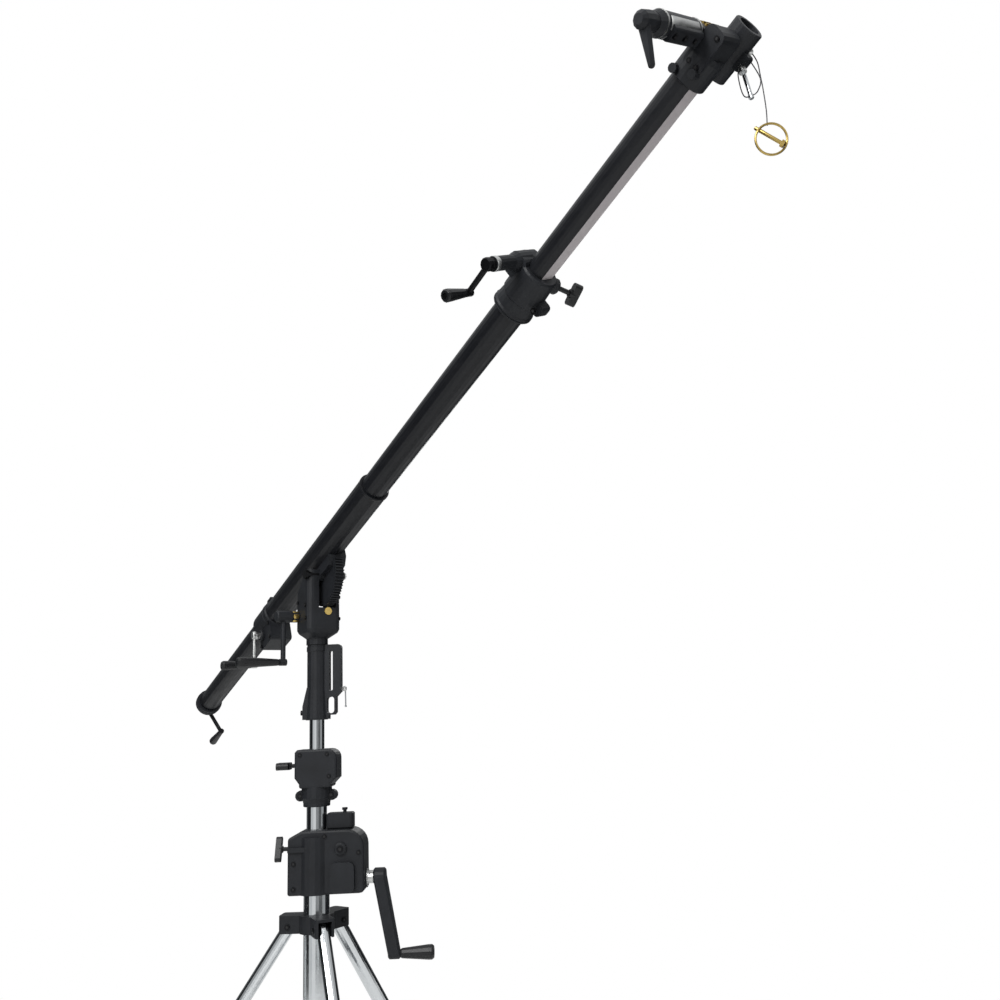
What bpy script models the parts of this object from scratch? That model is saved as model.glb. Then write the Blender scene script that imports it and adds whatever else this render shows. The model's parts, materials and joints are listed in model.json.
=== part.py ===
"""Boom light stand: a wind-up column on three folding legs, with a geared two-part boom.

Metres, +Z up. The column is worked out in the stand's frame, whose X runs across the front of the
winch. The boom is worked out in its own frame, whose X runs along the tube towards the head.
"""

import math

import bmesh
import bpy
from mathutils import Matrix, Vector

# Fits
SEAT = 0.0003
RUN = 0.0004

# Column tubes, from the floor up
LOW_R = 0.025
MID_R = 0.020
TOP_R = 0.015
COLUMN_WALL = 0.002
COLUMN_FOOT_Z = 0.078
FOOT_PLUG_H = 0.016
BUSH_H = 0.030
MID_FOOT_LIFT = 0.062
TOP_FOOT_LIFT = 0.050
STAGE_TRAVEL = 0.750

# Heights of the column's castings
SPIDER_TOP_Z = 0.976
SPIDER_H = 0.032
SPIDER_HUB_R = 0.034
LOW_SHOW = 0.038
WINCH_H = 0.117
MID_SHOW = 0.043
BRAKE_H = 0.110
TOP_SHOW = 0.057
SOCKET_H = 0.151
STAND_TURN = math.radians(54.2)

# Legs and their braces
LEG_AZIMUTHS = (55.0, 175.0, 295.0)
LEG_SPLAY = math.radians(35.0)
LEG_R = 0.0125
LEG_SLEEVE_R = 0.0145
HINGE_R = 0.052
HINGE_DROP = 0.020
HINGE_PIN_R = 0.004
ARM_END_R = 0.070
ARM_WALL = 0.006
ARM_ROOF = 0.005
BRACE_LENGTH = 0.360
BRACE_BAND_R = 0.0180
BRACE_BAND_H = 0.020
BRACE_PLATE = 0.003
BRACE_DEPTH = 0.020
BRACE_STUD_R = 0.004
BRACE_PIN_R = 0.003
BRACE_WEB_START = 0.142
BRACE_WEB_STOP = BRACE_LENGTH - 0.060
COLLAR_R = 0.032
COLLAR_H = 0.044
COLLAR_PLAY = 0.029
LUG_HALF = 0.009
LUG_MARGIN = 0.009
SLEEVE_LENGTH = 0.480
SLEEVE_OVERLAP = 0.130
BOOT_R = 0.0165
BOOT_LENGTH = 0.050
BOOT_WALL = 0.004

# Winch
WINCH_LEFT = 0.050
WINCH_RIGHT = 0.098
WINCH_HALF = 0.034
WINCH_CORNER = 0.034
WINCH_CHAMFER = 0.013
WINCH_LID = 0.006
CRANK_DROP = 0.093
WINCH_SHAFT_R = 0.012
WINCH_SHAFT_OUT = 0.014
WINCH_ARM = 0.140
WINCH_ARM_T = 0.024
WINCH_ARM_LEAN = 0.026
WINCH_HUB_R = 0.0165
WINCH_END_R = 0.0100
WINCH_GRIP = 0.064
SPINDLE_R = 0.004

# Socket casting on the column's top
SOCKET_R = 0.020
SOCKET_HALF = 0.010
SPIGOT_R = 0.014
SPIGOT_LENGTH = 0.086
HANDLE_IN = 0.034
HANDLE_OUT = 0.051
WINDOW_IN = 0.022
WINDOW_OUT = 0.037
WINDOW_H = 0.033
WINDOW_Z = 0.012
WINDOW_WALL = 0.004

# Yoke, in the yoke's frame: X forward, Y to the boom's left
YOKE_BACK = 0.030
YOKE_FRONT = 0.036
YOKE_RIGHT = 0.036
YOKE_LEFT = 0.038
YOKE_CORNER = 0.013
YOKE_NECK_R = 0.022
YOKE_NECK_H = 0.012
YOKE_FLARE_H = 0.015
YOKE_HEIGHT = 0.160
SLOT_RIGHT = 0.012
SLOT_LEFT = 0.026
TILT_X = 0.030
TILT_RISE = 0.142
TILT_AXLE_R = 0.006
TILT_EYE_R = 0.0115
BOOM_ABOVE_TILT = 0.0425
TILT_STATION = 0.0159
BOOM_ELEVATION = math.radians(20.9)
BOOM_HIGHEST = math.radians(45.0)
BOOM_LOWEST = math.radians(-35.0)

# Tilt gear
SECTOR_R = 0.0630
SECTOR_TEETH = 63
TOOTH_H = 0.0036
SECTOR_RIGHT = -0.001
SECTOR_LEFT = 0.017
SECTOR_REAR = math.radians(-62.0)
SECTOR_FRONT = math.radians(128.0)
WORM_R = 0.0100
WORM_DISC_R = 0.008
TILT_SHAFT_X = -0.015
TILT_SHAFT_DROP = 0.083
TILT_ARM = 0.093
TILT_GRIP = 0.088

# Boom tubes: stations along the boom from where it crosses the column
OUTER_R = 0.026
OUTER_BORE_R = 0.0235
SLEEVE_R = 0.030
INNER_R = 0.021
INNER_FLAT = 0.0160
INNER_WALL = 0.0022
SLEEVE_FRONT = 0.283
HOUSING_FRONT = -0.227
HOUSING_LENGTH = 0.080
HOUSING_R = 0.033
REAR_END = -0.743
COLLAR_REAR = 0.777
COLLAR_STEP = 0.033
COLLAR_LENGTH = 0.083
COLLAR_SOCKET = 0.023
HEAD_REAR = 1.194
HEAD_INSERT = 0.020
INNER_REAR = -0.200
INNER_BUSH = 0.020
BOOM_ROLL = math.radians(25.0)

# Boom drive
RING_R = 0.0305
RING_LENGTH = 0.024
ROLL_WORM_R = 0.0060
ROLL_SHAFT_S = -0.275
ROLL_ARM = 0.067
ROLL_GRIP = 0.066
DRIVE_R = 0.0045
DRIVE_END = 0.890
DRIVE_TUBE_R = 0.0080
DRIVE_TUBE_REAR = -0.150
REAR_CAP_R = 0.032
REAR_CAP_T = 0.012
REAR_ARM = 0.080
REAR_GRIP = 0.062

# Front collar, worked in the rolled frame
FRONT_COLLAR_R = 0.0345
EXT_SHAFT_S = 0.852
EXT_SHAFT_UP = 0.030
EXT_BEARING_R = 0.011
EXT_BEARING_OUT = 0.080
EXT_ARM = 0.058
EXT_GRIP = 0.044

# Head, worked in the rolled frame
HEAD_R = 0.0255
HEAD_SOCKET = 0.038
CROSS_S = 1.243
CROSS_UP = 0.022
CROSS_R = 0.007
WHEEL_R = 0.0150
WHEEL_TEETH = 18
WHEEL_RIGHT = -0.0087
WHEEL_LEFT = 0.0127
CASE_RIGHT = -0.024
CASE_LEFT = 0.020
CASE_FRONT = 0.024
CASE_TOP = 0.012
CHEEK_R = 0.0120
CASE_BOTTOM = 0.018
HEAD_WORM_R = 0.0066
RECEIVER_R = 0.0205
RECEIVER_BORE_R = 0.0145
RECEIVER_LENGTH = 0.070
RECEIVER_Y = 0.0463
FRICTION_R = 0.0150
FRICTION_END = -0.118
LEVER_END = -0.150
LEVER_ARM = 0.048

# Worked out from the sizes above
HINGE_Z = SPIDER_TOP_Z - HINGE_DROP
WINCH_BASE_Z = SPIDER_TOP_Z + LOW_SHOW
WINCH_TOP_Z = WINCH_BASE_Z + WINCH_H
BRAKE_BASE_Z = WINCH_TOP_Z + MID_SHOW
BRAKE_TOP_Z = BRAKE_BASE_Z + BRAKE_H
SOCKET_BASE_Z = BRAKE_TOP_Z + TOP_SHOW
SOCKET_TOP_Z = SOCKET_BASE_Z + SOCKET_H
MID_FOOT_Z = COLUMN_FOOT_Z + MID_FOOT_LIFT
TOP_FOOT_Z = MID_FOOT_Z + TOP_FOOT_LIFT
CRANK_Z = WINCH_TOP_Z - CRANK_DROP
TILT_Z = SOCKET_TOP_Z + TILT_RISE
TILT_SHAFT_Z = TILT_Z - TILT_SHAFT_DROP
WORM_Z = TILT_Z - SECTOR_R - TOOTH_H / 2 - WORM_R - RUN
SECTOR_MID = (SECTOR_RIGHT + SECTOR_LEFT) / 2
BOOM_ORIGIN_X = TILT_X - BOOM_ABOVE_TILT * math.sin(BOOM_ELEVATION) - TILT_STATION * math.cos(
    BOOM_ELEVATION
)
BOOM_ORIGIN_Z = TILT_Z + BOOM_ABOVE_TILT * math.cos(BOOM_ELEVATION) - TILT_STATION * math.sin(
    BOOM_ELEVATION
)
INNER_SCALE = (INNER_R - INNER_WALL) / INNER_R
ROLL_SHAFT_DROP = RING_R + ROLL_WORM_R + RUN
BRACE_GAP = BRACE_BAND_R + SEAT

ORIGIN = Vector((0.0, 0.0, 0.0))
AXIS_X = Vector((1.0, 0.0, 0.0))
AXIS_Y = Vector((0.0, 1.0, 0.0))
AXIS_Z = Vector((0.0, 0.0, 1.0))

for left_over in list(bpy.data.objects):
    bpy.data.objects.remove(left_over, do_unlink=True)


# Tools for shapes

def place(origin, out=AXIS_Z, across=None):
    """Matrix whose Z runs along out from origin, and whose X lies nearest to across."""
    out = Vector(out).normalized()
    if across is None:
        across = AXIS_X if abs(out.x) < 0.9 else AXIS_Y
    side = out.cross(Vector(across)).normalized()
    turned_x = side.cross(out)
    frame = Matrix((turned_x, side, out)).transposed().to_4x4()
    return Matrix.Translation(Vector(origin)) @ frame


def loose(bm):
    """An object without a parent round a finished bmesh."""
    bmesh.ops.recalc_face_normals(bm, faces=bm.faces)
    mesh = bpy.data.meshes.new("shape")
    bm.to_mesh(mesh)
    bm.free()
    item = bpy.data.objects.new("shape", mesh)
    bpy.context.scene.collection.objects.link(item)
    return item


def skin(rings, closed=False):
    """Surface through rings of equal count: capped at both ends, or joined round when closed."""
    bm = bmesh.new()
    rows = [[bm.verts.new(point) for point in ring] for ring in rings]
    count = len(rows[0])
    following = rows[1:] + rows[:1] if closed else rows[1:]
    for low, high in zip(rows, following):
        for index in range(count):
            after = (index + 1) % count
            bm.faces.new((low[index], low[after], high[after], high[index]))
    if not closed:
        bm.faces.new(rows[0])
        bm.faces.new(rows[-1])
    return loose(bm)


def circle(radius, height, sides, frame):
    """Points of one circle round the frame's Z."""
    turns = [2.0 * math.pi * (index + 0.5) / sides for index in range(sides)]
    return [frame @ Vector((radius * math.cos(a), radius * math.sin(a), height)) for a in turns]


def turned(profile, frame, sides=20):
    """Solid turned from (radius, height) points, with flat ends."""
    return skin([circle(radius, height, sides, frame) for radius, height in profile])


def hollow(profile, frame, sides=20):
    """Ring turned from a closed section of (radius, height) points."""
    return skin([circle(radius, height, sides, frame) for radius, height in profile], closed=True)


def pipe(outer, bore, low, high, frame, sides=24):
    """Plain tube from low to high along the frame's Z."""
    section = ((outer, low), (outer, high), (bore, high), (bore, low))
    return hollow(section, frame, sides)


def extruded(outline, low, high, frame):
    """Outline in the frame's XY, from low to high along its Z."""
    rings = [[frame @ Vector((x, y, height)) for x, y in outline] for height in (low, high)]
    return skin(rings)


def arc(centre_x, centre_y, radius, start, end, steps):
    """Points on an arc, angles in degrees."""
    angles = [math.radians(start + (end - start) * step / steps) for step in range(steps + 1)]
    return [(centre_x + radius * math.cos(a), centre_y + radius * math.sin(a)) for a in angles]


def rounded(x0, x1, y0, y1, radius, steps=4):
    """Rectangle with round corners."""
    corners = ((x1, y0, -90), (x1, y1, 0), (x0, y1, 90), (x0, y0, 180))
    points = []
    for x, y, start in corners:
        centre_x = x - radius if x == x1 else x + radius
        centre_y = y - radius if y == y1 else y + radius
        points += arc(centre_x, centre_y, radius, start, start + 90, steps)
    return points


def block(x0, x1, y0, y1, z0, z1):
    """Box between two corners."""
    return extruded([(x0, y0), (x1, y0), (x1, y1), (x0, y1)], z0, z1, Matrix.Identity(4))


def combine(target, operand, operation):
    """Applies one boolean and drops the operand."""
    modifier = target.modifiers.new("cut", "BOOLEAN")
    modifier.operation = operation
    modifier.object = operand
    bpy.context.view_layer.update()
    evaluated = target.evaluated_get(bpy.context.evaluated_depsgraph_get())
    mesh = bpy.data.meshes.new_from_object(evaluated)
    target.modifiers.remove(modifier)
    target.data = mesh
    bpy.data.objects.remove(operand, do_unlink=True)


def join(target, *others):
    for other in others:
        combine(target, other, "UNION")
    return target


def cut(target, *others):
    for other in others:
        combine(target, other, "DIFFERENCE")
    return target


# Frames and finishes

PLACES = {}


def pivot(name, parent=None, point=ORIGIN, turn=None):
    """Empty at point of its parent's frame; turn (axis, angle) starts a new frame there."""
    empty = bpy.data.objects.new(name, None)
    bpy.context.scene.collection.objects.link(empty)
    spot = Vector(point)
    empty.location = spot
    if parent is not None:
        empty.parent = parent
        empty.location = spot - PLACES[parent.name]
    PLACES[name] = spot
    if turn is not None:
        axis, angle = turn
        empty.rotation_euler["XYZ".index(axis)] = angle
        PLACES[name] = Vector(ORIGIN)
    return empty


def principled(name, colour, metallic, roughness):
    """Plain material from an sRGB hex colour."""
    material = bpy.data.materials.new(name)
    material.use_nodes = True
    shader = material.node_tree.nodes["Principled BSDF"]
    channels = [int(colour[index:index + 2], 16) / 255.0 for index in (0, 2, 4)]
    linear = [((c + 0.055) / 1.055) ** 2.4 if c > 0.04045 else c / 12.92 for c in channels]
    shader.inputs["Base Color"].default_value = (*linear, 1.0)
    shader.inputs["Metallic"].default_value = metallic
    shader.inputs["Roughness"].default_value = roughness
    return material


def seat(item, name, material, parent, crease=35.0):
    """Names a shape, gives it its finish and hangs it on its empty."""
    item.name = name
    item.data.name = name
    item.data.transform(Matrix.Translation(-PLACES[parent.name]))
    item.data.materials.clear()
    item.data.materials.append(material)
    item.data.shade_smooth()
    item.data.set_sharp_from_angle(angle=math.radians(crease))
    item.parent = parent
    return item


BLACK_PAINT = principled("black_paint", "24262A", 0.1, 0.45)
CAST_BLACK = principled("cast_black", "3A3C40", 0.2, 0.55)
CHROME = principled("chrome", "D6D8D8", 1.0, 0.15)
BRASS = principled("brass", "C8B36A", 1.0, 0.35)
STEEL = principled("zinc_steel", "B9BABC", 1.0, 0.35)
RUBBER = principled("black_rubber", "1B1B1C", 0.0, 0.8)
GRIP = principled("grip_plastic", "1E1F22", 0.0, 0.4)


# Column

def telescoping_tube(radius, foot_radius, foot_z, top_z):
    """Chrome tube with a wider guide bush at its foot."""
    bore = radius - COLUMN_WALL
    bush_top = foot_z + BUSH_H
    section = ((foot_radius, foot_z), (foot_radius, bush_top), (radius, bush_top + SEAT))
    section += ((radius, top_z), (bore, top_z), (bore, foot_z))
    return hollow(section, place(ORIGIN), 24)


def low_tube(parent):
    top = WINCH_TOP_Z - WINCH_LID - SEAT
    tube = pipe(LOW_R, LOW_R - COLUMN_WALL, COLUMN_FOOT_Z, top, place(ORIGIN))
    seat(tube, "low_tube", CHROME, parent)


def column_foot(parent):
    """Plastic plug that closes the low tube's end."""
    plug_r = LOW_R - COLUMN_WALL - SEAT
    base = COLUMN_FOOT_Z - FOOT_PLUG_H
    profile = ((LOW_R - 0.003, base), (LOW_R, base + 0.003), (LOW_R, COLUMN_FOOT_Z - SEAT))
    profile += ((plug_r, COLUMN_FOOT_Z - SEAT), (plug_r, COLUMN_FOOT_Z + FOOT_PLUG_H))
    seat(turned(profile, place(ORIGIN)), "column_foot", GRIP, parent)


def mid_tube(parent):
    top = BRAKE_TOP_Z - 0.034 - SEAT
    tube = telescoping_tube(MID_R, LOW_R - COLUMN_WALL - RUN, MID_FOOT_Z, top)
    seat(tube, "mid_tube", CHROME, parent)


def top_tube(parent):
    top = SOCKET_BASE_Z + 0.050 - SEAT
    tube = telescoping_tube(TOP_R, MID_R - COLUMN_WALL - RUN, TOP_FOOT_Z, top)
    seat(tube, "top_tube", CHROME, parent)


def spider(parent):
    """Hub casting whose three arms cover the legs' hinges, pins included."""
    base = SPIDER_TOP_Z - SPIDER_H
    body = turned(((SPIDER_HUB_R, base), (SPIDER_HUB_R, SPIDER_TOP_Z)), place(ORIGIN), 24)
    pockets = []
    pins = []
    for azimuth, leg_r in zip(LEG_AZIMUTHS, LEG_RADII):
        turn = Matrix.Rotation(math.radians(azimuth), 4, "Z")
        half = leg_r + ARM_WALL
        outline = rounded(0.010, ARM_END_R, -half, half, 0.005, 2)
        join(body, extruded(outline, base, SPIDER_TOP_Z, turn))
        slot = leg_r + SEAT
        inner = HINGE_R - leg_r - 0.001
        ceiling = SPIDER_TOP_Z - ARM_ROOF
        outline = [(inner, -slot), (ARM_END_R * 2, -slot), (ARM_END_R * 2, slot), (inner, slot)]
        pockets.append(extruded(outline, base - 0.01, ceiling, turn))
        frame = turn @ place((HINGE_R, 0.0, HINGE_Z), AXIS_Y)
        reach = slot + ARM_WALL / 2
        pins.append(turned(((HINGE_PIN_R, -reach), (HINGE_PIN_R, reach)), frame, 10))
    cut(body, *pockets)
    join(body, *pins)
    cut(
        body,
        turned(((LOW_R + SEAT, base - 0.01), (LOW_R + SEAT, SPIDER_TOP_Z + 0.01)), place(ORIGIN), 24),
    )
    seat(body, "spider", CAST_BLACK, parent)


LEG_RADII = (LEG_SLEEVE_R, LEG_R, LEG_R)
LEG_LENGTH = HINGE_Z / math.cos(LEG_SPLAY)


def leg_frame(origin_distance=0.0):
    """Frame on the leg's line, in the hinge's frame, with Z down the leg."""
    down = Vector((math.sin(LEG_SPLAY), 0.0, -math.cos(LEG_SPLAY)))
    return place(down * origin_distance, down, AXIS_Y)


def leg_tube(radius, end, frame):
    """Leg from its round head over the hinge to its end, with the brace's band round it."""
    steps = (90, 60, 30, 0)
    profile = [
        (max(radius * math.cos(math.radians(a)), 0.002), -radius * math.sin(math.radians(a)))
        for a in steps
    ]
    profile.append((radius, end))
    body = turned(profile, frame, 20)
    band = leg_band(frame)
    join(body, band)
    bore = HINGE_PIN_R + RUN
    cut(body, turned(((bore, -0.05), (bore, 0.05)), place(ORIGIN, AXIS_Y), 10))
    return body


def leg_band(frame):
    """Band with two studs that carry the brace."""
    low = BRACE_LENGTH - BRACE_BAND_H / 2
    high = BRACE_LENGTH + BRACE_BAND_H / 2
    band_r = BRACE_BAND_R
    body = turned(
        ((band_r - 0.001, low), (band_r, low + 0.001), (band_r, high - 0.001), (band_r - 0.001, high)),
        frame, 20,
    )
    reach = BRACE_GAP + BRACE_PLATE + 0.001
    stud = turned(
        ((BRACE_STUD_R, -reach), (BRACE_STUD_R, reach)), frame @ place((0, 0, BRACE_LENGTH), AXIS_X), 10,
    )
    return join(body, stud)


def plain_leg(number, parent):
    end = LEG_LENGTH - 0.030
    seat(leg_tube(LEG_R, end, leg_frame()), f"leg_{number}", CHROME, parent)


def levelling_leg(sleeve_parent, slide_parent):
    """Thicker sleeve on the hinge, the leg that slides in it, and the clamp at the sleeve's mouth."""
    frame = leg_frame()
    bore = LEG_R + RUN
    sleeve = leg_tube(LEG_SLEEVE_R, SLEEVE_LENGTH, frame)
    inner_end = SLEEVE_LENGTH - SLEEVE_OVERLAP - 0.020
    cut(sleeve, turned(((bore, inner_end), (bore, SLEEVE_LENGTH + 0.01)), frame, 20))
    seat(sleeve, "leg_1_sleeve", CHROME, sleeve_parent)
    outer = BRACE_BAND_R - 0.0008
    low = SLEEVE_LENGTH - 0.036
    clamp = turned(((outer, low), (outer, SLEEVE_LENGTH + 0.006)), frame, 20)
    join(
        clamp, extruded(rounded(-0.007, 0.007, 0.012, 0.034, 0.004, 2), low + 0.006, low + 0.030, frame),
    )
    wide = LEG_SLEEVE_R + SEAT
    step = SLEEVE_LENGTH + SEAT
    inside = ((wide, low - 0.01), (wide, step), (bore, step), (bore, step + 0.02))
    cut(clamp, turned(inside, frame, 20))
    seat(clamp, "level_clamp", CAST_BLACK, sleeve_parent)
    start = SLEEVE_LENGTH - SLEEVE_OVERLAP
    inner = turned(((LEG_R, start), (LEG_R, LEG_LENGTH - 0.030)), frame, 20)
    seat(inner, "leg_1", CHROME, slide_parent)


def foot(number, parent):
    """Rubber boot, flat where it stands."""
    frame = leg_frame()
    mouth = LEG_LENGTH - BOOT_LENGTH
    stop = LEG_LENGTH - 0.030 + SEAT
    profile = ((BOOT_R, mouth), (BOOT_R + 0.0015, mouth + 0.012), (BOOT_R + 0.0015, LEG_LENGTH + 0.020))
    boot = turned(profile, frame, 20)
    cut(boot, turned(((LEG_R + SEAT, mouth - 0.01), (LEG_R + SEAT, stop)), frame, 20))
    cut(boot, block(-0.2, 1.5, -0.2, 0.2, -HINGE_Z - 0.2, -HINGE_Z))
    seat(boot, f"foot_{number}", RUBBER, parent)


def brace_points():
    """The brace's two pivots at rest, in the hinge's frame."""
    on_leg = Vector((math.sin(LEG_SPLAY), 0.0, -math.cos(LEG_SPLAY))) * BRACE_LENGTH
    on_collar = Vector((0.0, 0.0, 2.0 * on_leg.z))
    return on_leg, on_collar


def brace(number, parent):
    """Pressed channel from the leg's band to the collar, wide enough to fold over the leg."""
    on_leg, on_collar = brace_points()
    half = BRACE_DEPTH / 2
    side = [(BRACE_LENGTH, -half)] + arc(BRACE_LENGTH, 0.0, half, -90, 90, 6)[1:-1] + [
        (BRACE_LENGTH, half)
    ]
    side += [(0.0, half)] + arc(0.0, 0.0, half, 90, 270, 6)[1:-1] + [(0.0, -half)]
    face = place(on_leg, AXIS_Y, on_collar - on_leg)
    body = extruded(side, BRACE_GAP, BRACE_GAP + BRACE_PLATE, face)
    other = extruded(side, -BRACE_GAP - BRACE_PLATE, -BRACE_GAP, face)
    width = BRACE_GAP + BRACE_PLATE
    web_top = half - BRACE_PLATE * 0.1
    web = [(BRACE_WEB_START, half - BRACE_PLATE), (BRACE_WEB_STOP, half - BRACE_PLATE)]
    web += [(BRACE_WEB_STOP, web_top), (BRACE_WEB_START, web_top)]
    inside = width - BRACE_PLATE * 0.5
    join(body, extruded(web, -inside, inside, face))
    join(body, other)
    pin = turned(((BRACE_PIN_R, -width), (BRACE_PIN_R, width)), place(on_collar, AXIS_Y), 10)
    join(body, pin)
    hole = BRACE_STUD_R + RUN
    cut(body, turned(((hole, -width * 2), (hole, width * 2)), place(on_leg, AXIS_Y), 10))
    seat(body, f"brace_{number}", CHROME, parent)


def brace_collar(parent):
    """Sliding ring with three slotted lugs for the braces' pins."""
    _, on_collar = brace_points()
    pin_z = HINGE_Z + on_collar.z
    low = pin_z - COLLAR_PLAY - LUG_MARGIN
    body = turned(((COLLAR_R, low), (COLLAR_R, pin_z + LUG_MARGIN)), place(ORIGIN), 24)
    slots = []
    for azimuth in LEG_AZIMUTHS:
        turn = Matrix.Rotation(math.radians(azimuth), 4, "Z")
        outline = rounded(0.026, HINGE_R + 0.009, -LUG_HALF, LUG_HALF, 0.003, 2)
        join(body, extruded(outline, low, pin_z + LUG_MARGIN, turn))
        gap = BRACE_PIN_R + RUN
        face = turn @ place((HINGE_R, 0.0, pin_z), AXIS_Y, -AXIS_Z)
        slot = rounded(-gap, COLLAR_PLAY + gap, -gap, gap, gap * 0.98, 4)
        slots.append(extruded(slot, -0.02, 0.02, face))
    cut(body, *slots)
    bore = LOW_R + RUN
    cut(body, turned(((bore, low - 0.01), (bore, pin_z + 0.03)), place(ORIGIN), 24))
    seat(body, "brace_collar", CAST_BLACK, parent)


# Winch

def winch_housing(parent):
    """Gearbox casting that clamps the low tube's top."""
    facing = place(ORIGIN, -AXIS_Y, AXIS_X)
    low = WINCH_BASE_Z
    high = WINCH_TOP_Z
    outline = [(-WINCH_LEFT, low), (WINCH_RIGHT - 0.010, low)]
    outline += arc(WINCH_RIGHT - 0.008, low + 0.008, 0.008, -90, 0, 3)[1:]
    outline += arc(WINCH_RIGHT - WINCH_CORNER, high - WINCH_CORNER, WINCH_CORNER, 0, 90, 7)
    outline += [(-WINCH_LEFT + WINCH_CHAMFER * 2, high), (-WINCH_LEFT, high - WINCH_CHAMFER)]
    body = extruded(outline, -WINCH_HALF, WINCH_HALF, facing)
    bevel_edges(body, 0.004, 2)
    barrel = turned(((0.033, low + SEAT), (0.033, high - 0.012)), place((0, -0.010, 0)), 20)
    bulge = extruded(rounded(0.034, 0.080, low + 0.002, low + 0.058, 0.010, 3), 0.028, 0.042, facing)
    boss = turned(
        ((0.012, 0.030), (0.012, 0.038), (0.009, 0.040)), facing @ place((0.053, high - 0.035, 0)), 12,
    )
    rib = block(-WINCH_LEFT + 0.001, -0.012, -0.039, -0.030, high - 0.038, high - 0.029)
    bearing = turned(
        ((0.019, WINCH_RIGHT - 0.01), (0.019, WINCH_RIGHT + 0.002)), place((0, 0, CRANK_Z), AXIS_X), 16,
    )
    join(body, barrel, bulge, boss, rib, bearing)
    top = high - WINCH_LID
    wide = LOW_R + SEAT
    cut(body, turned(((wide, low - 0.01), (wide, top)), place(ORIGIN), 24))
    slim = MID_R + RUN
    cut(body, turned(((slim, low - 0.01), (slim, high + 0.01)), place(ORIGIN), 24))
    hole = SHAFT_CORE_R + RUN
    cut(
        body,
        turned(
            ((hole, WINCH_RIGHT - 0.030), (hole, WINCH_RIGHT + 0.02)), place((0, 0, CRANK_Z), AXIS_X), 12,
        ),
    )
    stem = KNOB_STEM_R + RUN
    knob_z = high - 0.035
    cut(
        body,
        turned(
            ((stem, WINCH_LEFT - 0.012), (stem, WINCH_LEFT + 0.02)), place((0, 0, knob_z), -AXIS_X), 10,
        ),
    )
    seat(body, "winch_housing", CAST_BLACK, parent)


SHAFT_CORE_R = 0.007
KNOB_STEM_R = 0.004


def bevel_edges(item, width, segments):
    """Rounds the rims of a flat-faced shape."""
    bm = bmesh.new()
    bm.from_mesh(item.data)
    rims = [edge for edge in bm.edges if edge.calc_face_angle(0.0) > math.radians(60)]
    bmesh.ops.bevel(
        bm, geom=rims, offset=width, segments=segments, profile=0.5, affect="EDGES", clamp_overlap=True,
    )
    bm.to_mesh(item.data)
    bm.free()


def brake_block(parent):
    """Automatic brake's cover on top of the winch."""
    low = WINCH_TOP_Z + SEAT
    outline = rounded(MID_R + 0.002, 0.074, -0.017, 0.017, 0.006, 3)
    body = extruded(outline, low, low + 0.029, Matrix.Identity(4))
    bevel_edges(body, 0.002, 1)
    nub = turned(
        ((0.0035, low + 0.02), (0.0035, low + 0.033), (0.0055, low + 0.034), (0.0055, low + 0.038)),
        place((0.056, 0, 0)), 10,
    )
    join(body, nub)
    seat(body, "brake_block", CAST_BLACK, parent)


def strap(frame, hub_r, end_r, length, low, high, lean):
    """Cast crank arm: two rounds joined by their tangents, leaning outwards with distance."""
    spread = math.degrees(math.acos((hub_r - end_r) / length))
    outline = arc(0.0, 0.0, hub_r, spread, 360 - spread, 10)
    outline += arc(length, 0.0, end_r, -spread, spread, 8)
    body = extruded(outline, low, high, Matrix.Identity(4))
    bevel_edges(body, 0.003, 1)
    for vertex in body.data.vertices:
        vertex.co.z += lean * min(max(vertex.co.x / length, 0.0), 1.0)
    facet(body)
    body.data.transform(frame)
    return body


def facet(item):
    """Splits bent faces into flat ones."""
    bm = bmesh.new()
    bm.from_mesh(item.data)
    bmesh.ops.triangulate(bm, faces=bm.faces)
    bm.to_mesh(item.data)
    bm.free()


def spindled_grip(frame, inner_r, outer_r, length, start):
    """Barrel grip with a bore for its spindle, thicker at its outer end."""
    bore = SPINDLE_R + RUN
    stop = start + length
    section = (
        (inner_r * 0.86, start), (inner_r, start + length * 0.04), (outer_r, stop - length * 0.16),
    )
    section += ((outer_r, stop - length * 0.06), (outer_r * 0.8, stop), (bore, stop), (bore, start))
    return hollow(section, frame, 12)


def spindle(frame, start, length):
    """Pin that the grip turns on, with a washer at the arm."""
    return turned(((SPINDLE_R, start - 0.004), (SPINDLE_R, start + length - 0.001)), frame, 10)


def winch_crank(parent, grip_parent):
    """Turned shaft, cast arm and the grip on its spindle."""
    frame = place((0, 0, CRANK_Z), AXIS_X, -AXIS_Z)
    face = WINCH_RIGHT + 0.002 + SEAT
    arm_in = WINCH_RIGHT + WINCH_SHAFT_OUT
    profile = ((SHAFT_CORE_R, WINCH_RIGHT - 0.028), (SHAFT_CORE_R, face), (WINCH_SHAFT_R, face))
    profile += (
        (WINCH_SHAFT_R, arm_in - SEAT), (SHAFT_CORE_R, arm_in - SEAT),
        (SHAFT_CORE_R, arm_in + WINCH_ARM_T - 0.0043),
    )
    seat(turned(profile, frame, 16), "winch_shaft", STEEL, parent)
    arm = strap(frame, WINCH_HUB_R, WINCH_END_R, WINCH_ARM, arm_in, arm_in + WINCH_ARM_T, WINCH_ARM_LEAN)
    hole = SHAFT_CORE_R + SEAT
    cut(arm, turned(((hole, arm_in - 0.01), (hole, arm_in + WINCH_ARM_T - 0.004)), frame, 16))
    at_grip = frame @ place((WINCH_ARM, 0, 0))
    start = arm_in + WINCH_ARM_T + WINCH_ARM_LEAN + SEAT
    join(arm, spindle(at_grip, start, WINCH_GRIP))
    seat(arm, "winch_arm", CAST_BLACK, parent)
    seat(spindled_grip(at_grip, 0.009, 0.0135, WINCH_GRIP, start), "winch_grip", GRIP, grip_parent)


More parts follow.
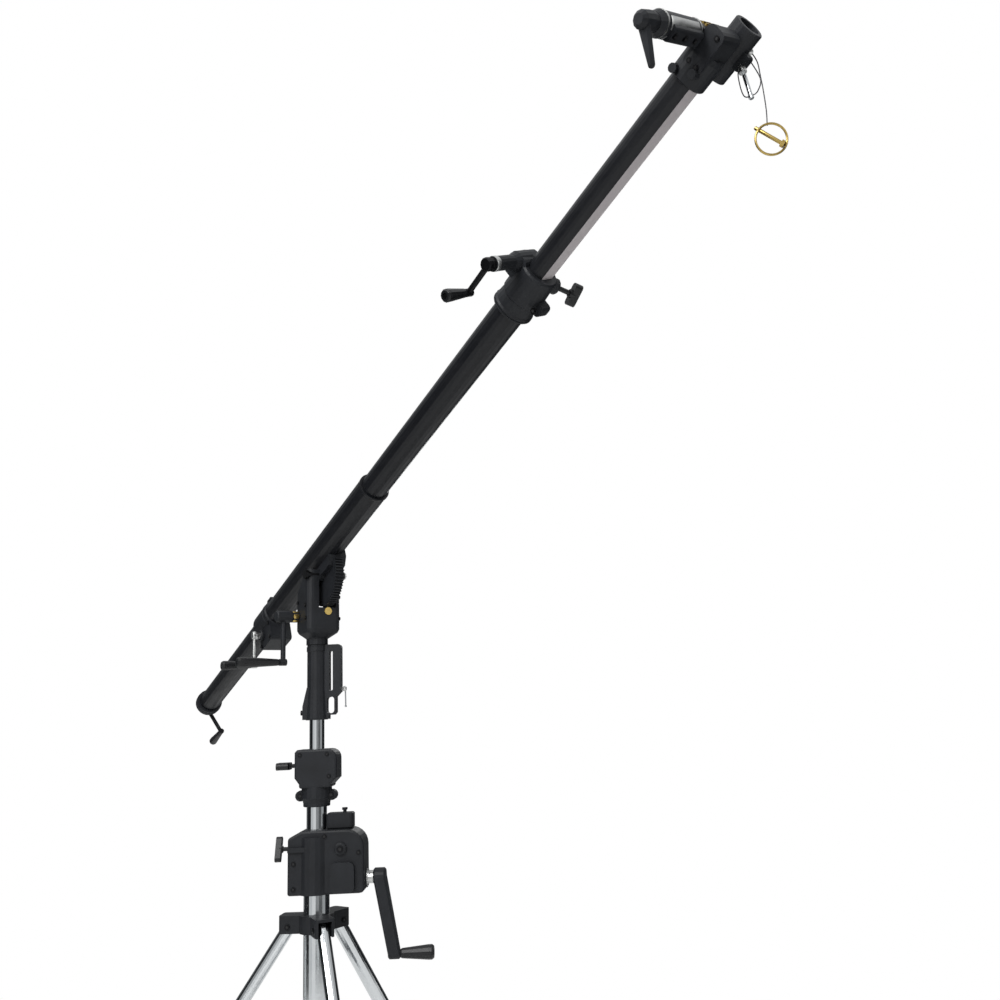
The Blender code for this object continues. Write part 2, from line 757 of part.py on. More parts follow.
def wing_knob(frame, start, stem, wing_half, wing_t, wing_h, bury):
    """Clamp screw: stem, hub and a wing across it."""
    body = turned(((KNOB_STEM_R, start - bury), (KNOB_STEM_R, start + stem + 0.002)), frame, 10)
    hub = turned(
        (
            (0.0065, start + stem), (0.0075, start + stem + 0.004),
            (0.0060, start + stem + wing_t + 0.002),
        ),
        frame, 10,
    )
    low = start + stem + 0.003
    outline = rounded(-wing_half, wing_half, -wing_h / 2, wing_h / 2, wing_h * 0.42, 3)
    wing = extruded(outline, low, low + wing_t, frame)
    return join(body, hub, wing)


def winch_knob(parent):
    frame = place((0, 0, WINCH_TOP_Z - 0.035), -AXIS_X, Vector((0.0, 0.35, 1.0)))
    knob = wing_knob(frame, WINCH_LEFT + SEAT, 0.016, 0.024, 0.011, 0.014, 0.010)
    seat(knob, "winch_knob", GRIP, parent)


# Upper stage

def brake_housing(parent):
    """Casting between the two upper tubes, with a waist and two bolt lugs."""
    facing = place(ORIGIN, -AXIS_Y, AXIS_X)
    low = BRAKE_BASE_Z
    high = BRAKE_TOP_Z
    waist = high - 0.066
    outline = [(-0.030, waist - 0.008), (0.033, waist - 0.008), (0.033, waist - 0.002)]
    outline += [(0.045, waist + 0.010)] + arc(0.045 - 0.018, high - 0.018, 0.018, 0, 90, 5)
    outline += [(-0.034, high), (-0.039, high - 0.005), (-0.039, waist + 0.012), (-0.030, waist)]
    body = extruded(outline, -0.030, 0.030, facing)
    bevel_edges(body, 0.004, 2)
    neck = turned(
        ((0.026, low + 0.004), (0.0275, low + 0.010), (0.030, low + 0.016), (0.030, high - 0.030)),
        place(ORIGIN), 20,
    )
    lip = turned(((0.0255, low), (0.0265, low + 0.001), (0.0265, low + 0.008)), place(ORIGIN), 20)
    join(body, neck, lip)
    for side in (-1, 1):
        centre = (side * 0.031, low + 0.021, 0)
        join(
            body,
            turned(
                ((0.0085, -0.011), (0.0105, -0.009), (0.0105, 0.009), (0.0085, 0.011)),
                facing @ place(centre), 12,
            ),
        )
    wide = MID_R + SEAT
    cut(body, turned(((wide, low - 0.01), (wide, high - 0.034)), place(ORIGIN), 24))
    slim = TOP_R + RUN
    cut(body, turned(((slim, low - 0.01), (slim, high + 0.01)), place(ORIGIN), 24))
    stem = KNOB_STEM_R + RUN
    cut(
        body,
        turned(((stem, 0.039 - 0.010), (stem, 0.039 + 0.02)), place((0, 0, high - 0.031), -AXIS_X), 10),
    )
    seat(body, "brake_housing", CAST_BLACK, parent)


def brake_knob(parent):
    frame = place((0, 0, BRAKE_TOP_Z - 0.031), -AXIS_X, AXIS_Y)
    knob = wing_knob(frame, 0.039 + SEAT, 0.012, 0.020, 0.024, 0.014, 0.008)
    seat(knob, "brake_knob", GRIP, parent)


def socket_casting(parent):
    """Spigot socket with a side handle, a finger window below it and a flared foot."""
    facing = place(ORIGIN, -AXIS_Y, AXIS_X)
    low = SOCKET_BASE_Z
    high = SOCKET_TOP_Z
    profile = ((SOCKET_R + 0.002, low), (SOCKET_R + 0.003, low + 0.003), (SOCKET_R, low + 0.060))
    profile += (
        (SOCKET_R, high - 0.014), (SOCKET_R + 0.0012, high - 0.013), (SOCKET_R + 0.0012, high - 0.004),
    )
    profile += ((SOCKET_R, high - 0.003), (SOCKET_R, high))
    body = turned(profile, place(ORIGIN), 20)
    flare = [
        (-0.027, low + 0.001), (0.0, low + 0.001), (0.0, low + 0.070), (-0.018, low + 0.065),
        (-0.027, low + 0.027),
    ]
    join(body, extruded(flare, -0.014, 0.014, facing))
    rib = block(0.004, WINDOW_IN + 0.004, -SOCKET_HALF, SOCKET_HALF, low + 0.001, high - 0.006)
    join(body, rib)
    window_top = low + WINDOW_Z + WINDOW_H
    frame_outline = [
        (0.010, low + 0.009), (WINDOW_OUT, low + 0.009), (WINDOW_OUT + WINDOW_WALL, low + 0.014),
    ]
    frame_outline += [(WINDOW_OUT + WINDOW_WALL, window_top), (HANDLE_OUT, window_top + 0.010)]
    frame_outline += [(HANDLE_OUT, high - 0.008)] + arc(
        HANDLE_OUT - 0.006, high - 0.0065, 0.006, 0, 90, 3,
    )
    frame_outline += [(0.010, high - 0.0005)]
    frame_body = extruded(frame_outline, -SOCKET_HALF, SOCKET_HALF, facing)
    window = rounded(WINDOW_IN, WINDOW_OUT, low + WINDOW_Z, window_top, 0.006, 3)
    slot = rounded(WINDOW_IN + 0.005, HANDLE_IN, window_top + 0.012, high - 0.013, 0.003, 3)
    join(body, frame_body)
    cut(body, extruded(window, -0.05, 0.05, facing), extruded(slot, -0.05, 0.05, facing))
    bore = TOP_R + SEAT
    cut(body, turned(((bore, low - 0.01), (bore, low + 0.050)), place(ORIGIN), 24))
    seat_r = SPIGOT_R + RUN
    cut(body, turned(((seat_r, high - SPIGOT_LENGTH - 0.002), (seat_r, high + 0.01)), place(ORIGIN), 24))
    hole = PULL_R + RUN
    cut(
        body,
        turned(
            ((hole, HANDLE_IN + 0.004), (hole, HANDLE_OUT + 0.01)),
            place((0, 0, window_top + 0.015), AXIS_X), 10,
        ),
    )
    seat(body, "socket_casting", CAST_BLACK, parent)


PULL_R = 0.003


def socket_pin(parent):
    """Sprung pull pin in the handle's foot."""
    height = SOCKET_BASE_Z + WINDOW_Z + WINDOW_H + 0.015
    frame = place((0, 0, height), AXIS_X)
    out = HANDLE_OUT + SEAT
    profile = (
        (PULL_R, HANDLE_IN + 0.006), (PULL_R, out + 0.004), (0.0052, out + 0.0042),
        (0.0052, out + 0.0075), (0.004, out + 0.009),
    )
    seat(turned(profile, frame, 10), "socket_pin", STEEL, parent)


# Yoke and tilt drive, worked in the yoke's frame

def yoke(parent):
    """Forked casting on the column's spigot, slotted for the tilt gear."""
    neck_base = SOCKET_TOP_Z + SEAT
    neck_top = neck_base + YOKE_NECK_H
    shoulder = neck_top + YOKE_FLARE_H
    top = SOCKET_TOP_Z + YOKE_HEIGHT
    full = rounded(-YOKE_BACK, YOKE_FRONT, -YOKE_RIGHT, YOKE_LEFT, YOKE_CORNER, 4)
    round_r = YOKE_NECK_R
    neck = rounded(-round_r, round_r, -round_r, round_r, round_r * 0.999, 4)
    middle = rounded(
        -YOKE_BACK + 0.003, YOKE_FRONT - 0.003, -YOKE_RIGHT + 0.003, YOKE_LEFT - 0.003, YOKE_CORNER, 4,
    )
    levels = (
        (neck, neck_base), (neck, neck_top), (middle, shoulder - 0.004), (full, shoulder + 0.003),
        (full, top),
    )
    body = skin([[Vector((x, y, z)) for x, y in outline] for outline, z in levels])
    spigot = turned(
        (
            (SPIGOT_R - 0.001, SOCKET_TOP_Z - SPIGOT_LENGTH),
            (SPIGOT_R, SOCKET_TOP_Z - SPIGOT_LENGTH + 0.002), (SPIGOT_R, neck_base + 0.004),
        ),
        place(ORIGIN), 20,
    )
    join(body, spigot)
    cut(body, yoke_top_cutter(top))
    floor = TILT_Z - SECTOR_R - TOOTH_H / 2 - 0.003
    cut(body, block(-0.1, 0.1, -SLOT_RIGHT, SLOT_LEFT, floor, top + 0.05))
    tunnel = WORM_R + RUN
    worm_line = place((0, SECTOR_MID, WORM_Z), AXIS_X)
    cut(body, turned(((tunnel, -YOKE_BACK + 0.008), (tunnel, YOKE_FRONT - 0.006)), worm_line, 12))
    disc_hole = WORM_DISC_R + RUN
    cut(body, turned(((disc_hole, 0.0), (disc_hole, YOKE_FRONT + 0.01)), worm_line, 12))
    axle = TILT_AXLE_R + RUN
    cut(body, turned(((axle, -0.1), (axle, 0.1)), place((TILT_X, 0, TILT_Z), AXIS_Y), 12))
    shaft = CRANK_SHAFT_R + RUN
    cut(body, turned(((shaft, YOKE_RIGHT - 0.018), (shaft, YOKE_RIGHT + 0.02)), tilt_shaft_frame(), 12))
    seat(body, "yoke", CAST_BLACK, parent)


CRANK_SHAFT_R = 0.0065


def yoke_top_cutter(top):
    """Everything above the two limit lines of the boom and the eye round the axle."""
    centre = Vector((TILT_X, TILT_Z))
    rear_angle = math.degrees(BOOM_HIGHEST) + 90.0
    front_angle = math.degrees(BOOM_LOWEST) + 90.0
    rim = arc(centre.x, centre.y, TILT_EYE_R, rear_angle, front_angle, 6)
    reach = 0.15
    rear = (rim[0][0] - reach * math.cos(BOOM_HIGHEST), rim[0][1] - reach * math.sin(BOOM_HIGHEST))
    front = (rim[-1][0] + reach * math.cos(BOOM_LOWEST), rim[-1][1] + reach * math.sin(BOOM_LOWEST))
    outline = [rear] + rim + [front, (front[0], top + 0.1), (rear[0], top + 0.1)]
    return extruded(outline, -0.1, 0.1, place(ORIGIN, -AXIS_Y, AXIS_X))


def tilt_axle(parent):
    """Bolt through the yoke's cheeks, with its nut."""
    frame = place((TILT_X, 0, TILT_Z), AXIS_Y)
    head_r = 0.0095
    right = -YOKE_RIGHT - SEAT
    left = YOKE_LEFT + SEAT
    profile = (
        (head_r, right - 0.005), (head_r, right), (TILT_AXLE_R, right), (TILT_AXLE_R, left + 0.009),
    )
    bolt = turned(profile, frame, 12)
    nut = turned(((0.0105, left), (0.0105, left + 0.007)), frame, 6)
    join(bolt, nut)
    seat(bolt, "tilt_axle", STEEL, parent)


def tooth_outline(teeth, tip_r, start, end):
    """Tooth flanks between two angles, worked out from the pitch."""
    pitch = 2.0 * math.pi / teeth
    points = []
    first = math.ceil(start / pitch)
    last = math.floor(end / pitch)
    for index in range(first, last + 1):
        middle = index * pitch
        for share, radius in (
            (-0.32, tip_r - TOOTH_H), (-0.14, tip_r), (0.14, tip_r), (0.32, tip_r - TOOTH_H),
        ):
            angle = middle + share * pitch
            points.append((radius * math.sin(angle), -radius * math.cos(angle)))
    return points


def tilt_sector(parent):
    """Toothed sector, its hub on the axle and the saddle under the boom's sleeve."""
    eye = Vector((TILT_STATION, 0.0, -BOOM_ABOVE_TILT))
    face = place(eye, -AXIS_Y, AXIS_X) @ Matrix.Rotation(-BOOM_ELEVATION, 4, "Z")
    tip = SECTOR_R + TOOTH_H / 2
    points = tooth_outline(SECTOR_TEETH, tip, SECTOR_REAR, SECTOR_FRONT)
    outline = points + [(tip * 0.30, tip * 0.42), (-tip * 0.30, tip * 0.30)]
    body = extruded(outline, -SECTOR_LEFT, -SECTOR_RIGHT, face)
    hub_r = 0.0120
    inside = 0.0006
    right = -SLOT_RIGHT + inside
    left = SLOT_LEFT - inside
    hub = turned(((hub_r, right), (hub_r, left)), place(eye, AXIS_Y), 16)
    join(body, hub)
    saddle_side = [
        (-0.056, 0.010), (-0.046, -0.006), (0.052, -0.006), (0.064, 0.010), (0.064, BOOM_ABOVE_TILT),
        (-0.056, BOOM_ABOVE_TILT),
    ]
    saddle = extruded(saddle_side, -left, -right, place(eye, -AXIS_Y, AXIS_X))
    join(body, saddle)
    bed = SLEEVE_R + SEAT
    cut(body, turned(((bed, -0.2), (bed, 0.2)), place(ORIGIN, AXIS_X), 24))
    axle = TILT_AXLE_R + RUN
    cut(body, turned(((axle, -0.1), (axle, 0.1)), place(eye, AXIS_Y), 12))
    seat(body, "tilt_sector", CAST_BLACK, parent)


def tilt_worm(parent):
    """Worm below the sector, with its brass end in the yoke's front."""
    frame = place((0, SECTOR_MID, WORM_Z), AXIS_X)
    rear = -YOKE_BACK + 0.008 + SEAT
    front = YOKE_FRONT - 0.006 - SEAT
    journal = WORM_R - 0.0035
    profile = [(journal, rear), (journal, rear + 0.006)]
    turns = 5
    step = (front - rear - 0.012) / turns
    for index in range(turns):
        at = rear + 0.006 + index * step
        profile += [(WORM_R, at + step * 0.25), (WORM_R, at + step * 0.55), (journal, at + step * 0.85)]
    profile += [
        (journal, front - 0.004), (WORM_DISC_R, front - 0.002), (WORM_DISC_R, YOKE_FRONT + 0.0015),
    ]
    seat(turned(profile, frame, 12), "tilt_worm", BRASS, parent)


def tilt_shaft_frame():
    return place((TILT_SHAFT_X, 0, TILT_SHAFT_Z), -AXIS_Y, -AXIS_Z)


def rod_crank(
    frame, core_r, bury, face, nut_r, nut_out, hub_r, hub_out, rod_at, rod_r, arm, grip_start, grip,
):
    """Crank of turned shaft, nut and hub, with a rod arm along the frame's X and a grip spindle."""
    profile = ((core_r, face - bury), (core_r, face + SEAT), (nut_r, face + SEAT), (nut_r, nut_out))
    body = turned(profile, frame, 10)
    hub = turned(
        (
            (hub_r * 0.92, nut_out - 0.0005), (hub_r, nut_out + 0.002), (hub_r, hub_out - 0.002),
            (hub_r * 0.85, hub_out),
        ),
        frame, 12,
    )
    rod_frame = frame @ place((0, 0, rod_at), AXIS_X)
    rod = turned(((rod_r, 0.0), (rod_r, arm)), rod_frame, 10)
    end = frame @ place((arm, 0, 0))
    eye = turned(((rod_r * 1.35, rod_at - rod_r * 1.3), (rod_r * 1.35, grip_start - SEAT)), end, 10)
    return join(body, hub, rod, eye, spindle(end, grip_start, grip))


def tilt_crank(parent, grip_parent):
    """Side crank that lifts and lowers the boom."""
    frame = tilt_shaft_frame()
    face = YOKE_RIGHT
    rod_at = 0.068
    start = rod_at + 0.008
    body = rod_crank(
        frame, CRANK_SHAFT_R, 0.016, face, 0.0115, 0.050, 0.0120, 0.084, rod_at, 0.0052, TILT_ARM, start,
        TILT_GRIP,
    )
    seat(body, "tilt_crank", CAST_BLACK, parent)
    end = frame @ place((TILT_ARM, 0, 0))
    seat(spindled_grip(end, 0.0068, 0.011, TILT_GRIP, start), "tilt_grip", GRIP, grip_parent)


# Boom, worked in the boom's frame

def boom_sleeve(parent):
    bore = OUTER_R + RUN
    tube = pipe(SLEEVE_R, bore, HOUSING_FRONT + SEAT, SLEEVE_FRONT, place(ORIGIN, AXIS_X))
    seat(tube, "boom_sleeve", BLACK_PAINT, parent)


def rear_housing(parent):
    """Gearbox round the tube, with the roll worm's block below and an ear on top."""
    along = place(ORIGIN, AXIS_X)
    front = HOUSING_FRONT
    rear = front - HOUSING_LENGTH
    profile = (
        (HOUSING_R - 0.004, rear), (HOUSING_R, rear + 0.004), (HOUSING_R, front - 0.003),
        (HOUSING_R - 0.003, front),
    )
    body = turned(profile, along, 24)
    facing = place(ORIGIN, -AXIS_Y, AXIS_X)
    lower = rounded(rear + 0.012, front - 0.002, -0.066, -0.012, 0.007, 3)
    join(body, extruded(lower, -0.024, 0.024, facing))
    ear = rounded(front - 0.030, front - 0.004, 0.010, 0.042, 0.004, 2)
    join(body, extruded(ear, -0.012, 0.012, facing))
    worm_line = roll_shaft_frame()
    boss = turned(((0.0125, 0.010), (0.0125, 0.030), (0.0105, 0.032)), worm_line, 12)
    join(body, boss)
    bore = OUTER_R + RUN
    cut(body, turned(((bore, rear - 0.01), (bore, front + 0.01)), along, 24))
    mid = ROLL_SHAFT_S
    half = RING_LENGTH / 2 + RUN
    groove = RING_R + RUN
    cut(body, turned(((groove, mid - half), (groove, mid + half)), along, 24))
    tunnel = ROLL_WORM_R + RUN
    cut(body, turned(((tunnel, -0.020), (tunnel, 0.05)), worm_line, 12))
    seat(body, "rear_housing", CAST_BLACK, parent)


def roll_shaft_frame():
    return place(
        (ROLL_SHAFT_S, 0, -ROLL_SHAFT_DROP), -AXIS_Y,
        Vector((-math.sin(BOOM_ELEVATION), 0.0, -math.cos(BOOM_ELEVATION))),
    )


def roll_crank(parent, grip_parent):
    """Worm shaft that rolls the boom, with its crank."""
    frame = roll_shaft_frame()
    rod_at = 0.044
    start = rod_at + 0.008
    body = rod_crank(
        frame, ROLL_WORM_R, 0.050, 0.032, 0.0072, 0.036, 0.0090, 0.050, rod_at, 0.0048, ROLL_ARM, start,
        ROLL_GRIP,
    )
    seat(body, "roll_crank", STEEL, parent)
    end = frame @ place((ROLL_ARM, 0, 0))
    seat(spindled_grip(end, 0.0068, 0.0105, ROLL_GRIP, start), "roll_grip", GRIP, grip_parent)


def outer_tube(parent):
    front = COLLAR_REAR + COLLAR_SOCKET - SEAT
    tube = pipe(OUTER_R, OUTER_BORE_R, REAR_END, front, place(ORIGIN, AXIS_X))
    seat(tube, "outer_tube", BLACK_PAINT, parent)


def roll_ring(parent):
    """Ring gear on the outer tube, inside the rear housing."""
    half = RING_LENGTH / 2
    ring = pipe(
        RING_R, OUTER_R + SEAT / 3, ROLL_SHAFT_S - half, ROLL_SHAFT_S + half, place(ORIGIN, AXIS_X),
    )
    seat(ring, "roll_ring", BRASS, parent)


def rear_cap(parent):
    """Cast cap over the tube's end, bored for the drive shaft."""
    rear = REAR_END - REAR_CAP_T
    skirt = REAR_END + 0.012
    bore = DRIVE_R + RUN
    tube_r = OUTER_R + SEAT
    end = REAR_END - SEAT
    section = (
        (REAR_CAP_R - 0.005, rear), (REAR_CAP_R, rear + 0.005), (REAR_CAP_R, skirt), (tube_r, skirt),
    )
    section += ((tube_r, end), (bore, end), (bore, rear))
    seat(hollow(section, place(ORIGIN, AXIS_X), 24), "rear_cap", CAST_BLACK, parent)


def drive_shaft(parent, grip_parent):
    """Rear crank with the long shaft that turns the receiver."""
    frame = place(ORIGIN, -AXIS_X, -AXIS_Z)
    face = -REAR_END + REAR_CAP_T + SEAT
    profile = (
        (DRIVE_R, -DRIVE_END), (DRIVE_R, face), (0.009, face), (0.010, face + 0.003),
        (0.010, face + 0.018), (0.008, face + 0.020),
    )
    body = turned(profile, frame, 12)
    rod_at = face + 0.011
    rod = turned(((0.0048, 0.0), (0.0048, REAR_ARM)), frame @ place((0, 0, rod_at), AXIS_X), 10)
    end = frame @ place((REAR_ARM, 0, 0))
    start = rod_at + 0.009
    eye = turned(((0.0065, rod_at - 0.0062), (0.0065, start - SEAT)), end, 10)
    join(body, rod, eye, spindle(end, start, REAR_GRIP))
    seat(body, "drive_shaft", STEEL, parent)
    seat(spindled_grip(end, 0.0068, 0.010, REAR_GRIP, start), "rear_grip", GRIP, grip_parent)


def flatted(radius, flat, steps=20):
    """Round section with one flat below, as the inner tube is drawn."""
    start = -90.0 + math.degrees(math.acos(flat / radius))
    return arc(0.0, 0.0, radius, start, 180.0 - start, steps)


def along_boom(points, station):
    return [Vector((station, -y, z)) for y, z in points]


def inner_tube(parent):
    """Sliding tube with a flat along its underside and a guide bush at its rear."""
    section = flatted(INNER_R, INNER_FLAT)
    bush_r = OUTER_BORE_R - RUN
    turns = [math.atan2(z, y) for y, z in section]
    bush = [(bush_r * math.cos(a), bush_r * math.sin(a)) for a in turns]
    bore = [(y * INNER_SCALE, z * INNER_SCALE) for y, z in section]
    front = HEAD_REAR + HEAD_INSERT - SEAT
    bush_front = INNER_REAR + INNER_BUSH
    rings = [
        along_boom(bush, INNER_REAR), along_boom(bush, bush_front),
        along_boom(section, bush_front + 0.001),
    ]
    rings += [along_boom(section, front), along_boom(bore, front), along_boom(bore, INNER_REAR)]
    seat(skin(rings, closed=True), "inner_tube", BLACK_PAINT, parent, 30.0)


def front_collar(parent):
    """Clamp casting where the inner tube leaves the outer one, with the extension shaft's bearing."""
    along = place(ORIGIN, AXIS_X)
    rear = COLLAR_REAR
    step = rear + COLLAR_STEP
    front = rear + COLLAR_LENGTH
    full = FRONT_COLLAR_R
    profile = (
        (full - 0.006, rear), (full - 0.002, rear + 0.002), (full, rear + 0.010),
        (full - 0.0015, rear + 0.013),
    )
    profile += (
        (full - 0.003, step - 0.003), (full - 0.001, step), (full - 0.001, step + 0.008),
        (full - 0.004, front - 0.003), (full - 0.006, front),
    )
    body = turned(profile, along, 24)
    bearing_line = extension_frame()
    bearing = turned(
        (
            (EXT_BEARING_R + 0.005, 0.0), (EXT_BEARING_R + 0.004, 0.026), (EXT_BEARING_R, 0.036),
            (EXT_BEARING_R, EXT_BEARING_OUT),
        ),
        bearing_line, 16,
    )
    facing = place(ORIGIN, -AXIS_Y, AXIS_X)
    hump = rounded(EXT_SHAFT_S - 0.024, EXT_SHAFT_S + 0.014, 0.010, EXT_SHAFT_UP + 0.014, 0.010, 3)
    join(body, extruded(hump, -0.018, 0.026, facing), bearing)
    clamp = rounded(rear + 0.030, rear + 0.050, -0.046, -0.020, 0.006, 3)
    join(body, extruded(clamp, -0.014, 0.006, facing))
    boss = turned(((0.0125, 0.020), (0.0125, 0.037), (0.010, 0.040)), knob_frame(), 16)
    join(body, boss)
    cut(body, turned(((OUTER_R + SEAT, rear - 0.01), (OUTER_R + SEAT, rear + COLLAR_SOCKET)), along, 24))
    hole = flatted(INNER_R + RUN, INNER_FLAT + RUN)
    cut(body, skin([along_boom(hole, rear - 0.01), along_boom(hole, front + 0.02)]))
    shaft = CRANK_SHAFT_R + RUN
    cut(
        body,
        turned(((shaft, EXT_BEARING_OUT - 0.030), (shaft, EXT_BEARING_OUT + 0.01)), bearing_line, 12),
    )
    stem = KNOB_STEM_R + RUN
    cut(body, turned(((stem, 0.028), (stem, 0.06)), knob_frame(), 10))
    seat(body, "front_collar", CAST_BLACK, parent)


def extension_frame():
    return place((EXT_SHAFT_S, 0, EXT_SHAFT_UP), -AXIS_Y, -AXIS_X)


def knob_frame():
    return place((COLLAR_REAR + COLLAR_LENGTH - 0.014, 0, 0), (0.0, 0.81, -0.59), (0.9, 0.25, 0.34))


def extension_crank(parent, grip_parent):
    """Crank that runs the inner tube in and out."""
    frame = extension_frame()
    face = EXT_BEARING_OUT
    rod_at = face + 0.008
    start = rod_at + 0.008
    body = rod_crank(
        frame, CRANK_SHAFT_R, 0.028, face, 0.0095, face + 0.006, 0.0105, face + 0.016, rod_at, 0.0046,
        EXT_ARM, start, EXT_GRIP,
    )
    seat(body, "extension_crank", STEEL, parent)
    end = frame @ place((EXT_ARM, 0, 0))
    seat(spindled_grip(end, 0.0068, 0.010, EXT_GRIP, start), "extension_grip", GRIP, grip_parent)


def collar_knob(parent):
    knob = wing_knob(knob_frame(), 0.040 + SEAT, 0.022, 0.018, 0.013, 0.013, 0.008)
    seat(knob, "collar_knob", GRIP, parent)


# Head, worked in the rolled frame

def head_casting(parent):
    """Socket on the inner tube and the open gear case in front of it."""
    along = place(ORIGIN, AXIS_X)
    rear = HEAD_REAR
    front = rear + HEAD_SOCKET
    profile = (
        (HEAD_R - 0.002, rear), (HEAD_R, rear + 0.002), (HEAD_R, front - 0.002),
        (HEAD_R - 0.003, front + 0.004),
    )
    body = turned(profile, along, 24)
    facing = place(ORIGIN, -AXIS_Y, AXIS_X)
    case = rounded(rear + 0.016, CROSS_S + CASE_FRONT, -CASE_BOTTOM, CASE_TOP, 0.009, 3)
    join(body, extruded(case, -CASE_LEFT, -CASE_RIGHT, facing))
    cheek = rounded(
        CROSS_S - CHEEK_R, CROSS_S + CHEEK_R, 0.0, CROSS_UP + CHEEK_R, CHEEK_R - 0.0005, 5,
    )
    join(body, extruded(cheek, -CASE_LEFT + 0.0005, -CASE_RIGHT - 0.0005, facing))
    wheel_gap = 0.0006
    pocket_rear = CROSS_S - WHEEL_R - TOOTH_H / 2 - 0.001
    pocket = block(
        pocket_rear, CROSS_S + CASE_FRONT - 0.006, WHEEL_RIGHT - wheel_gap, WHEEL_LEFT + wheel_gap,
        -0.009, 0.08,
    )
    window = block(CROSS_S, CROSS_S + 0.06, WHEEL_RIGHT - wheel_gap, WHEEL_LEFT + wheel_gap, 0.006, 0.08)
    cut(body, pocket, window)
    for height in (0.010, -0.010):
        join(
            body,
            turned(
                ((0.006, 0.0), (0.006, HEAD_R + 0.004)),
                place((rear + 0.012 - height * 0.6, 0, height * 1.3), -AXIS_Y), 10,
            ),
        )
    socket = flatted(INNER_R + SEAT, INNER_FLAT + SEAT)
    cut(body, skin([along_boom(socket, rear - 0.01), along_boom(socket, rear + HEAD_INSERT)]))
    tube = DRIVE_TUBE_R + RUN
    cut(body, turned(((tube, rear - 0.01), (tube, pocket_rear + 0.002)), along, 12))
    journal = DRIVE_R + RUN
    cut(body, turned(((journal, rear), (journal, CROSS_S + CASE_FRONT - 0.002)), along, 12))
    cross = CROSS_R + RUN
    cut(body, turned(((cross, -0.1), (cross, 0.1)), place((CROSS_S, 0, CROSS_UP), AXIS_Y), 16))
    seat(body, "head_casting", CAST_BLACK, parent)


def head_worm(parent):
    """Tube that rides on the drive shaft and ends in the worm under the wheel."""
    rear_bush = INNER_FLAT * INNER_SCALE - RUN
    bore = DRIVE_R + RUN
    start = DRIVE_TUBE_REAR
    worm_rear = CROSS_S - WHEEL_R - TOOTH_H / 2
    worm_front = CROSS_S + CASE_FRONT - 0.006 - RUN
    section = [
        (rear_bush, start), (rear_bush, start + 0.015), (DRIVE_TUBE_R, start + 0.016),
        (DRIVE_TUBE_R, worm_rear),
    ]
    root = HEAD_WORM_R - 0.0012
    turns = 5
    step = (worm_front - worm_rear) / turns
    for index in range(turns):
        at = worm_rear + index * step
        section += [
            (root, at + step * 0.15), (HEAD_WORM_R, at + step * 0.45), (HEAD_WORM_R, at + step * 0.70),
            (root, at + step),
        ]
    section += [(DRIVE_R, worm_front), (DRIVE_R, CROSS_S + CASE_FRONT - 0.002 - RUN)]
    section += [
        (DRIVE_R - 0.002, CROSS_S + CASE_FRONT - 0.002 - RUN), (DRIVE_R - 0.002, worm_rear),
        (bore, worm_rear - 0.001), (bore, start),
    ]
    seat(hollow(section, place(ORIGIN, AXIS_X), 12), "head_worm", STEEL, parent)


def worm_wheel(parent):
    """Brass wheel with slanted teeth, on its cross axle."""
    facing = place((CROSS_S, 0, CROSS_UP), AXIS_Y, AXIS_X)
    pitch = 2.0 * math.pi / WHEEL_TEETH
    tip = WHEEL_R - RUN
    slant = pitch * 0.55
    rings = []
    for height, turn, shrink in ((WHEEL_RIGHT, 0.0, 0.0), (WHEEL_LEFT, slant, 0.0)):
        ring = []
        for index in range(WHEEL_TEETH):
            for share, radius in (
                (-0.30, tip - 0.0026), (-0.12, tip), (0.12, tip), (0.30, tip - 0.0026),
            ):
                angle = (index + share) * pitch + turn
                ring.append(
                    facing @ Vector(
                        (
                            (radius - shrink) * math.cos(angle), (radius - shrink) * math.sin(angle),
                            height,
                        )
                    )
                )
        rings.append(ring)
    body = skin(rings)
    axle = turned(
        ((CROSS_R, FRICTION_END + 0.012), (CROSS_R, RECEIVER_Y - RECEIVER_R - 0.004)), facing, 20,
    )
    join(body, axle)
    seat(body, "worm_wheel", BRASS, parent)


def receiver(parent):
    """Spigot receiver on the cross axle, with the pin's lug below."""
    along = place((CROSS_S, RECEIVER_Y, 0), AXIS_X)
    half = RECEIVER_LENGTH / 2
    rim = RECEIVER_R
    profile = ((rim - 0.001, -half), (rim, -half + 0.001), (rim, half - 0.001), (rim - 0.001, half))
    body = turned(profile, along, 24)
    side = place((CROSS_S, 0, CROSS_UP), AXIS_Y)
    boss_in = CASE_LEFT + SEAT
    boss = turned(((0.013, boss_in), (0.014, boss_in + 0.002), (0.014, RECEIVER_Y)), side, 16)
    facing = place((CROSS_S, 0, 0), -AXIS_Y, AXIS_X)
    lug = rounded(-0.010, 0.012, -0.030, -0.010, 0.004, 3)
    join(body, boss, extruded(lug, -RECEIVER_Y - 0.007, -RECEIVER_Y + 0.007, facing))
    cut(body, turned(((RECEIVER_BORE_R, -0.1), (RECEIVER_BORE_R, 0.1)), along, 24))
    axle_end = RECEIVER_Y - RECEIVER_R - 0.004 + SEAT
    cut(body, turned(((CROSS_R + SEAT, 0.0), (CROSS_R + SEAT, axle_end)), side, 16))
    seat(body, "receiver", CAST_BLACK, parent)


